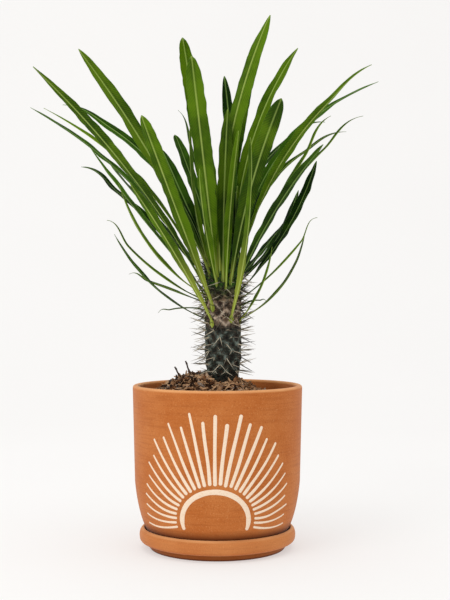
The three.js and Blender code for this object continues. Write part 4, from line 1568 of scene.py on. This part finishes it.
@dataclass(frozen=True)
class Leaf:
    """One long leaf seated on the stem.

    Fields: height of the seat, tip, bow of the midrib up off its chord and round the stem, greatest
    width, turn of the blade in degrees, tone, tip form, hook of the tip end, late twist in degrees,
    how far the yellow of the stalk reaches up the blade, and shade, which is darker above 0.
    """

    seat_z: float
    tip: tuple[float, float, float]
    arch: float
    sweep: float
    width: float
    turn: float
    tone: Tone
    form: TipForm = TipForm.ROUNDED
    hook: float = 0.0
    twist: float = 0.0
    yellow: float = 0.12
    shade: float = 0.0

    def foot(self, stem: Stem, seat: Grid, down: Grid) -> Grid:
        """Leaf base that runs down the stem below the seat and sinks under the skin.

        With q from 0 at the seat to 1 at the foot, its radius is the stem's, plus the seat's own lift
        times (1 - q), less 0.7 q.

        Args:
            stem: the stem that carries the leaf.
            seat: the midrib's first point.
            down: q of each row.

        Returns:
            One point for each row.
        """
        away = seat - [stem.x, 0.0, seat[2]]
        bearing = unit(away)
        lift = np.linalg.norm(away) - stem.radius_at(seat[2])
        z = seat[2] - (BLADE.foot_length + BLADE.foot_by_width * self.width) * down
        r = stem.radius_at(z) + lift * (1.0 - down) - 0.7 * down
        return np.stack([stem.x + r * bearing[0], r * bearing[1], z], axis=-1)

    def midrib(self, stem: Stem, t: Grid) -> tuple[Grid, Grid]:
        """Quadratic curve from the seat over a raised handle to the tip, with a late hook.

        The hook adds upward * hook * 6.75 s^2 (1 - s), where s runs 0 to 1 over the last quarter.

        Args:
            stem: the stem that carries the leaf.
            t: shares along the midrib.

        Returns:
            Points, and the level direction square to the leaf's heading.
        """
        root = np.array([stem.x, 0.0, self.seat_z])
        end = np.array(self.tip, float)
        chord = end - root
        level = unit(np.array([-chord[1], chord[0], 0.0]))
        upward = np.cross(unit(chord), level)
        bow = 2.0 * self.arch * upward + 2.0 * self.sweep * level
        heading = unit(0.5 * chord + bow)
        outward = unit(heading * [1.0, 1.0, 0.0])
        seat = root + outward * (stem.radius_at(self.seat_z) + 0.3 + 0.85 * heading[2])
        handle = (seat + end) / 2.0 + bow
        share = t[:, None]
        points = (1.0 - share) ** 2 * seat + 2.0 * share * (1.0 - share) * handle + share ** 2 * end
        late = np.clip((share - 0.75) / 0.25, 0.0, 1.0)
        points = points + upward * self.hook * 6.75 * late ** 2 * (1.0 - late)
        return points, np.array([-outward[1], outward[0], 0.0])

    def half_width(self, t: Grid) -> Grid:
        """Half the blade's width: a narrow stalk that opens by a smooth step, then a closing tip.

        Args:
            t: shares along the midrib.

        Returns:
            Half width in mm at each share.
        """
        narrows, fullness = self.form.value
        opening = BLADE.stalk_share + (1.0 - BLADE.stalk_share) * smoothstep(t, *BLADE.opens)
        closing = np.clip((t - narrows) / (1.0 - narrows), 0.0, 1.0)
        return np.maximum(0.4, self.width / 2.0 * opening * (1.0 - closing ** 2) ** fullness)

    def blade(self, stem: Stem, seed: int, rows: int = 64) -> Surface:
        """Upper and lower faces of a folded, slightly wavy blade as one closed body.

        Across the blade s runs from -1 to 1. Both faces lie at fold * |s|^1.25 plus a ripple that
        grows to the edges, the upper face half a skin above it and the lower face half a skin below;
        each has a midrib raised as a bell curve. On the foot the width swells, then closes.

        Args:
            stem: the stem that carries the leaf.
            seed: start of this leaf's draws.
            rows: stations along the midrib.

        Returns:
            The blade with its colour values.
        """
        t = np.linspace(0.0, 1.0, rows) ** 1.05
        centre, level = self.midrib(stem, t)
        length = float(np.linalg.norm(np.diff(centre, axis=0), axis=1).sum())
        down = np.linspace(1.0, 0.0, BLADE.foot_rows + 1)[:-1]
        centre = np.concatenate([self.foot(stem, centre[0], down), centre])
        t = np.concatenate([0.0 * down, t])
        q = np.concatenate([down, np.zeros(rows)])[:, None]
        along = unit(np.gradient(centre, axis=0))
        across = unit(level - (along @ level)[:, None] * along)
        turned_by = self.turn * smoothstep(t, *BLADE.turns) + self.twist * smoothstep(t, *BLADE.twists)
        angle = np.radians(turned_by)[:, None]
        across = across * np.cos(angle) + np.cross(along, across) * np.sin(angle)
        up = np.cross(along, across)
        s = np.array([-share for share in reversed(BLADE.stations)] + list(BLADE.stations))
        flare = BLADE.flare + BLADE.flare_by_yellow * self.yellow
        half = self.half_width(t)[:, None] * (1.0 + flare * q - (flare + 0.6) * q * q)
        run = (t * length)[:, None]
        fold = BLADE.fold * half * smoothstep(t, *BLADE.folds)[:, None]
        ripple = waves(seed, 5, 70.0, 24.0, run) * BLADE.ripple * half * s * s
        lean = waves(seed + 500, 4, 90.0, 40.0, run) * BLADE.lean * half * s
        lift = fold * np.abs(s) ** 1.25 + ripple + lean
        edge_wave = 1.0 + BLADE.edge_wave * waves(seed + 900, 6, 26.0, 8.0, run) * np.abs(s) ** 6
        side = half * s * edge_wave
        fleshy = BLADE.skin + BLADE.flesh * (1.0 - smoothstep(run, 0.0, BLADE.flesh_length))
        skin = fleshy * (1.0 - 0.6 * s * s) * np.minimum(1.0, half / 1.2)
        rib = np.exp(-(side / BLADE.rib_width) ** 2) * np.minimum(1.0, half / 2.5)
        spots = centre[:, None] + across[:, None] * side[..., None]
        upper = spots + up[:, None] * (lift + skin + BLADE.rib_above * rib)[..., None]
        lower = spots + up[:, None] * (lift - skin - BLADE.rib_below * rib)[..., None]
        rings = np.concatenate([upper, lower[:, ::-1]], axis=1)
        values = self.colours(seed, t[:, None], q, s, run, half, np.abs(side))
        return closed_bodies(rings[None], {name: grid[None] for name, grid in values.items()})

    def colours(self, seed: int, t: Grid, q: Grid, s: Grid, run: Grid, half: Grid, from_rib: Grid) -> Values:
        """Shares of each colour over both faces of the blade.

        Pale is the midrib, a bell curve that fades to the tip, and a thin line along the edges. Vein
        is the phase of the side veins. Base is the yellow of the stalk. Tint and shade darkens the green:
        it has slow waves along the blade, a share drawn for each leaf and the leaf's own shade, and it
        deepens at the edges and beside the midrib. The rest is painted light and shade: one half of the
        blade is lighter than the other, as if turned to the light, the foot deepens into painted shade,
        and towards the stem the mid and dark leaves deepen into painted shade while the light and
        yellow-based ones lighten.

        Args:
            seed: start of this leaf's draws.
            t: share of the way from the seat to the tip.
            q: share of the way down the foot.
            s: place across the blade, from -1 to 1.
            run: length from the seat in mm.
            half: half width in mm.
            from_rib: distance from the midrib in mm.

        Returns:
            Named values, the upper face first and then the lower face from its far edge back.
        """
        draw = np.random.default_rng(seed)
        rib_size = 0.31 + 0.02 * half
        pale = 0.95 * np.exp(-(from_rib / rib_size) ** 2) * (1.0 - 0.5 * smoothstep(t, 0.7, 1.0))
        margin = 0.25 if self.tone is Tone.DARK else 0.07
        pale = pale + margin * (np.abs(s) > 0.95)
        low_pale = np.clip(pale + 0.03, 0.0, 1.0)
        vein = run + 1.1 * from_rib
        yellow = min(1.0, 0.3 + 3.0 * self.yellow) * (1.0 - smoothstep(t, 0.0, self.yellow))
        base = yellow * (1.0 - 0.35 * q * q) + 0.0 * s
        # Painted shade near the stem on the mid and dark leaves; painted light there on the light and
        # yellow-based ones.
        core_light_and_shade = -0.15 if self.tone is Tone.LIGHT or self.yellow > 0.15 else 0.6
        tint_and_shade = self.shade + draw.uniform(-0.16, 0.16) + 0.16 * waves(seed + 70, 3, 160.0, 60.0, run)
        tint_and_shade = tint_and_shade + 0.12 * np.abs(s) ** 5
        # One half of the blade painted lighter than the other, as if turned to the light, and painted shade
        # down the foot.
        tint_and_shade = tint_and_shade + draw.uniform(-0.15, 0.15) * np.tanh(8.0 * s) + 0.3 * q
        tint_and_shade = tint_and_shade + core_light_and_shade * (1.0 - smoothstep(t, 0.05, 0.4))
        tint_and_shade = tint_and_shade + 0.2 * np.exp(-((from_rib - 1.3) / 0.6) ** 2) * smoothstep(half, 2.0, 5.0)
        faces = {"pale": (pale, low_pale), "vein": (vein, vein), "base": (base, base),
                 "tint_and_shade": (tint_and_shade, tint_and_shade - 0.06)}
        return {name: np.concatenate([top, low[:, ::-1]], axis=1) for name, (top, low) in faces.items()}


LIGHT, MID, DARK = Tone.LIGHT, Tone.MID, Tone.DARK
FINE, POINTED, BLUNT = TipForm.FINE, TipForm.POINTED, TipForm.BLUNT

# Each leaf's tone and shade are partly painted light and shade: lighter in front, darker behind and inside
# the crown.
LEAVES = [
    # low leaves, short and spreading
    Leaf(210, (-52, -10, 207), 3, 0, 4, 0, MID, POINTED, hook=2),
    Leaf(216, (-81, 30, 242), 0, 0, 6, -15, MID, FINE, hook=3),
    Leaf(202, (-92, 5, 277), -10, 0, 7, -15, DARK, POINTED),
    Leaf(218, (-95, -30, 287), -8, 0, 7, 5, MID, FINE, hook=4),
    Leaf(201, (-70, -95, 313), 3, 0, 10, 5, LIGHT, yellow=0.6),
    Leaf(213, (43, -10, 217), 3, 0, 4, 0, MID, POINTED, hook=1.5),
    Leaf(201, (47, -35, 264), -3, 5, 7, 5, MID, FINE, yellow=0.3),
    Leaf(202, (80, 25, 282), -12, -4, 7, 10, MID, FINE, yellow=0.3),
    Leaf(220, (87, -20, 290), -5, 2, 6, -5, MID, FINE, hook=4),
    # left side
    Leaf(220, (-128, 55, 343), 11, 0, 10, -10, DARK, hook=4),
    Leaf(226, (-110, -20, 350), -2, -2, 9, 20, DARK, POINTED),
    Leaf(222, (-84, -40, 318), -13, 0, 7, 10, MID, FINE, yellow=0.3),
    Leaf(234, (-147, -45, 381), 19, 0, 10, 5, LIGHT, FINE),
    Leaf(237, (-173, 40, 396), 15, 0, 11, -12, DARK, POINTED, shade=-0.3),
    Leaf(227, (-151, -75, 410), 10, 1, 12, 15, MID, POINTED, twist=25),
    Leaf(242, (-117, 85, 396), 18, -2, 10, 10, MID, POINTED, shade=-0.35),
    Leaf(250, (-146, 60, 402), 24, -6, 11, -25, DARK, POINTED, hook=3, shade=-0.25),
    Leaf(245, (-111, -95, 420), 8, 0, 14, 20, MID, shade=-0.35),
    # right side
    Leaf(227, (92, 50, 348), -7, -5, 12, 20, DARK),
    Leaf(233, (78, 95, 325), -5, -7, 10, -10, DARK),
    Leaf(228, (86, -90, 344), 8, 0, 11, 0, DARK),
    Leaf(236, (95, -60, 372), 5, 2, 9, 5, LIGHT, POINTED, hook=4),
    Leaf(243, (125, -35, 376), 12, -1, 9, 0, MID, FINE, hook=4),
    Leaf(252, (116, 15, 370), 23, 2, 9, 10, MID, POINTED, hook=3),
    Leaf(247, (102, 75, 388), 28, 5, 10, -15, DARK, POINTED, hook=4, shade=-0.2),
    Leaf(258, (147, 30, 418), 28, 5, 10, 40, DARK, POINTED, twist=-32, shade=-0.35),
    Leaf(252, (133, -30, 421), 19, -2, 11, -45, LIGHT, POINTED, hook=2, twist=36),
    # front, upright
    Leaf(205, (27, -95, 349), 0, 6, 10, 45, LIGHT, yellow=0.6),
    Leaf(235, (-14, -85, 325), 3, -3, 10, -45, LIGHT),
    Leaf(216, (-60, -100, 366), 2, -2, 13, 10, LIGHT, BLUNT, yellow=0.4),
    Leaf(251, (-23, -40, 366), -3, -4, 11, -30, LIGHT),
    Leaf(232, (18, -50, 361), 3, -1, 9, 40, LIGHT),
    Leaf(240, (9, -35, 382), 0, -1, 12, -5, MID, shade=-0.15),
    Leaf(239, (53, -75, 384), 5, -2, 14, -25, MID, BLUNT),
    Leaf(243, (-21, -70, 420), 0, 0, 15, 20, LIGHT, BLUNT),
    Leaf(251, (45, -45, 460), 10, -7, 15.5, -25, LIGHT),
    # middle and back, upright
    Leaf(250, (-54, 85, 363), 0, 0, 13, -15, DARK, shade=-0.2),
    Leaf(256, (-42, 95, 379), 0, -2, 13, 15, DARK, BLUNT, shade=-0.15),
    Leaf(256, (-36, 25, 391), 7, 0, 9, 10, DARK, FINE, hook=3),
    Leaf(266, (6, 70, 431), -2, -5, 12, -10, DARK),
    Leaf(261, (74, 40, 451), 15, 2, 13.5, 5, MID, shade=-0.4),
    Leaf(265, (-33, 50, 463), 0, -1, 14, -20, MID, BLUNT),
    # back
    Leaf(229, (70, 115, 300), -4, 3, 9, -20, DARK),
    Leaf(243, (25, 145, 335), 0, 2, 10, -20, DARK),
    Leaf(234, (-105, 105, 350), 0, 0, 10, 15, DARK),
    Leaf(252, (35, 125, 355), 0, 3, 10, -35, DARK),
    Leaf(249, (-15, 155, 365), -7, 0, 11, 15, DARK),
    Leaf(240, (65, 115, 370), 7, 2, 11, -10, DARK),
    Leaf(243, (-75, 115, 375), 3, -3, 12, 0, MID),
    Leaf(265, (-20, 115, 430), -2, 0, 12, 10, MID),
    Leaf(256, (35, 100, 450), 4, 4, 12, -5, MID),
]


@dataclass
class Crown:
    """All the leaves on their stem."""

    stem: Stem
    leaves: list[Leaf]
    young_count: int = 16
    young_seat: Span = (250.0, 276.0)
    young_reach: Span = (15.0, 6.0)
    young_width: Span = (8.5, 4.5)
    young_top_z: float = 300.0
    spine_room: float = 0.7
    seed: int = 61

    def young(self) -> Iterator[Leaf]:
        """Short young leaves round the growing tip, each set on from the last by the golden angle.

        The share k runs from 0 at the outermost to 1 at the innermost, whose seats are the highest.
        Seat, reach and width each run in a straight line between their two values.

        Returns:
            Each young leaf in turn.
        """
        draw = np.random.default_rng(self.seed)
        golden = math.pi * (3.0 - math.sqrt(5.0))
        for index in range(self.young_count):
            k = index / (self.young_count - 1)
            seat, reach, width = (near + (far - near) * k
                                  for near, far in (self.young_seat, self.young_reach, self.young_width))
            out = reach + (1.0 - k) * draw.uniform(2.0, 14.0)
            tip = (self.stem.x + out * math.cos(golden * index), out * math.sin(golden * index),
                   self.young_top_z + (1.0 - k) * draw.uniform(12.0, 34.0))
            # Dark and mid tones and a shade of 0.1: painted shade in the heart of the crown.
            tone = Tone.DARK if index % 3 else Tone.MID
            yield Leaf(seat, tip, 1.0, 0.0, width, draw.uniform(-25.0, 25.0), tone, shade=0.1)

    def rib_samples(self) -> tuple[Grid, Grid]:
        """Places that spines keep clear of, along the lower half of every midrib.

        Returns:
            The points, and the room that a spine leaves round each.
        """
        t = np.linspace(0.0, 0.5, 24)
        points = [leaf.midrib(self.stem, t)[0] for leaf in self.leaves]
        room = [leaf.half_width(t) + self.spine_room for leaf in self.leaves]
        return np.concatenate(points), np.concatenate(room)

    def build(self, skins: dict[Tone, bpy.types.Material]) -> None:
        """One piece for each leaf, which stands for the node of its number, then the young leaves.

        Args:
            skins: the finish of each tone.
        """
        for index, leaf in enumerate(self.leaves, start=1):
            node = f"leaf_{index:02d}"
            surface = leaf.blade(self.stem, seed=100 + index)
            make_piece(f"blade_{index:02d}", surface, skins[leaf.tone], leaf.tone.value[0], node)
        for index, leaf in enumerate(self.young(), start=1):
            surface = leaf.blade(self.stem, seed=200 + index, rows=28)
            make_piece(f"young_leaf_{index:02d}", surface, skins[leaf.tone], leaf.tone.value[0])


# ---- studio ----

@dataclass(frozen=True)
class Softbox:
    """Square soft light: its name, its place and side in metres, and its power in watts."""

    name: str
    at: Place
    side: float
    power: float


@dataclass
class Studio:
    """Seamless underlit sweep, soft lights in a white room, and the camera.

    The camera's place and aim are in metres, the sweep's measures in mm.
    """

    camera_at: Place = (0.00666, -1.0, 0.2184)
    lens_mm: float = 67.6
    sensor_mm: float = 36.0
    aim: Place = (0.0, 0.0, 0.22)
    softboxes: tuple[Softbox, ...] = (Softbox("key_softbox", (-1.2, -1.3, 1.3), 1.0, 8.5),
                                      Softbox("top_softbox", (-0.1, -0.1, 1.9), 1.2, 5.5))
    room: str = "#F5F6F5"
    room_strength: float = 0.925
    floor_front: float = -4000.0
    bend_from: float = 900.0
    bend_r: float = 900.0
    backdrop_top: float = 2200.0
    half_width: float = 4500.0

    def sweep(self, paper: bpy.types.Material) -> None:
        """Floor that runs back and curves up as a quarter circle into the backdrop.

        Args:
            paper: the finish.
        """
        angle = np.linspace(0.0, np.pi / 2.0, 24)
        bend = self.bend_r * np.stack([np.sin(angle), 1.0 - np.cos(angle)], axis=-1) + [self.bend_from, 0.0]
        top = (self.bend_from + self.bend_r, self.backdrop_top)
        line = np.concatenate([[(self.floor_front, 0.0)], bend, [top]])[:, None]
        x = np.array([-self.half_width, self.half_width])
        grid = np.stack([x + 0.0 * line[..., 0], line[..., 0] + 0.0 * x, line[..., 1] + 0.0 * x], axis=-1)
        number = np.arange(len(line) * 2).reshape(-1, 2)
        quads = np.stack([number[:-1, 0], number[:-1, 1], number[1:, 1], number[1:, 0]], axis=-1)
        mesh = bpy.data.meshes.new("paper_sweep")
        mesh.from_pydata((grid.reshape(-1, 3) * MM).tolist(), [], quads.tolist())
        mesh.shade_smooth()
        mesh.materials.append(paper)
        floor = bpy.data.objects.new("paper_sweep", mesh)
        bpy.context.scene.collection.objects.link(floor)
        floor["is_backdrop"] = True

    def light(self, softbox: Softbox) -> None:
        """Hangs a softbox and turns it to the aim.

        Args:
            softbox: its place, size and power.
        """
        lamp = bpy.data.lights.new(softbox.name, "AREA")
        lamp.size = softbox.side
        lamp.energy = softbox.power
        holder = bpy.data.objects.new(softbox.name, lamp)
        holder.location = softbox.at
        gaze = holder.location - type(holder.location)(self.aim)
        holder.rotation_euler = gaze.to_track_quat("Z", "Y").to_euler()
        bpy.context.scene.collection.objects.link(holder)

    def white_room(self) -> bpy.types.World:
        """Even white light from all round.

        Returns:
            The world that gives it.
        """
        world = bpy.data.worlds.new("white_room")
        world.use_nodes = True
        surround = next(node for node in world.node_tree.nodes if node.type == "BACKGROUND")
        surround.inputs["Color"].default_value = linear(self.room)
        surround.inputs["Strength"].default_value = self.room_strength
        return world

    def build(self, paper: bpy.types.Material) -> None:
        """Sweep, soft lights, the white room and the level camera.

        Args:
            paper: the sweep's finish.
        """
        self.sweep(paper)
        for softbox in self.softboxes:
            self.light(softbox)
        scene = bpy.context.scene
        scene.world = self.white_room()
        scene.view_settings.view_transform = "Standard"
        lens = bpy.data.cameras.new("studio_camera")
        lens.lens = self.lens_mm
        lens.sensor_width = self.sensor_mm
        camera = bpy.data.objects.new("studio_camera", lens)
        camera.location = self.camera_at
        camera.rotation_euler = (math.pi / 2.0, 0.0, 0.0)
        scene.collection.objects.link(camera)
        scene.camera = camera


def write_sizes() -> None:
    boxes = {"cad": CAD_BOX, "visual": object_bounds()}
    plain = {name: [[float(v) for v in corner] for corner in box] for name, box in boxes.items()}


def main() -> None:
    """Builds the pot, the mix, the plant and the studio in order."""
    logging.basicConfig(level=logging.INFO, format="%(message)s")
    clay = Terracotta().material()
    Saucer().build(clay)
    pot = Pot()
    pot.build(clay)
    Sunburst(pot).build(CreamPaint().material())
    PottingMix(pot).build(BarkMix().material())
    twig_bark = TwigBark().material()
    Twig("twig_1", (-19.5, -14.0, 143.0), (-28.0, -14.0, 165.0)).build(twig_bark)
    Twig("twig_2", (-27.0, -15.0, 142.0), (-37.5, -14.0, 160.0)).build(twig_bark)
    stem = Stem()
    crown = Crown(stem, LEAVES)
    stem.build(StemBark().material())
    Spines(stem).build(SpineHorn().material(), *crown.rib_samples())
    crown.build({tone: LeafSkin(tone).material() for tone in Tone})
    Studio().build(StudioPaper().material())
    write_sizes()


if __name__ == "__main__":
    main()
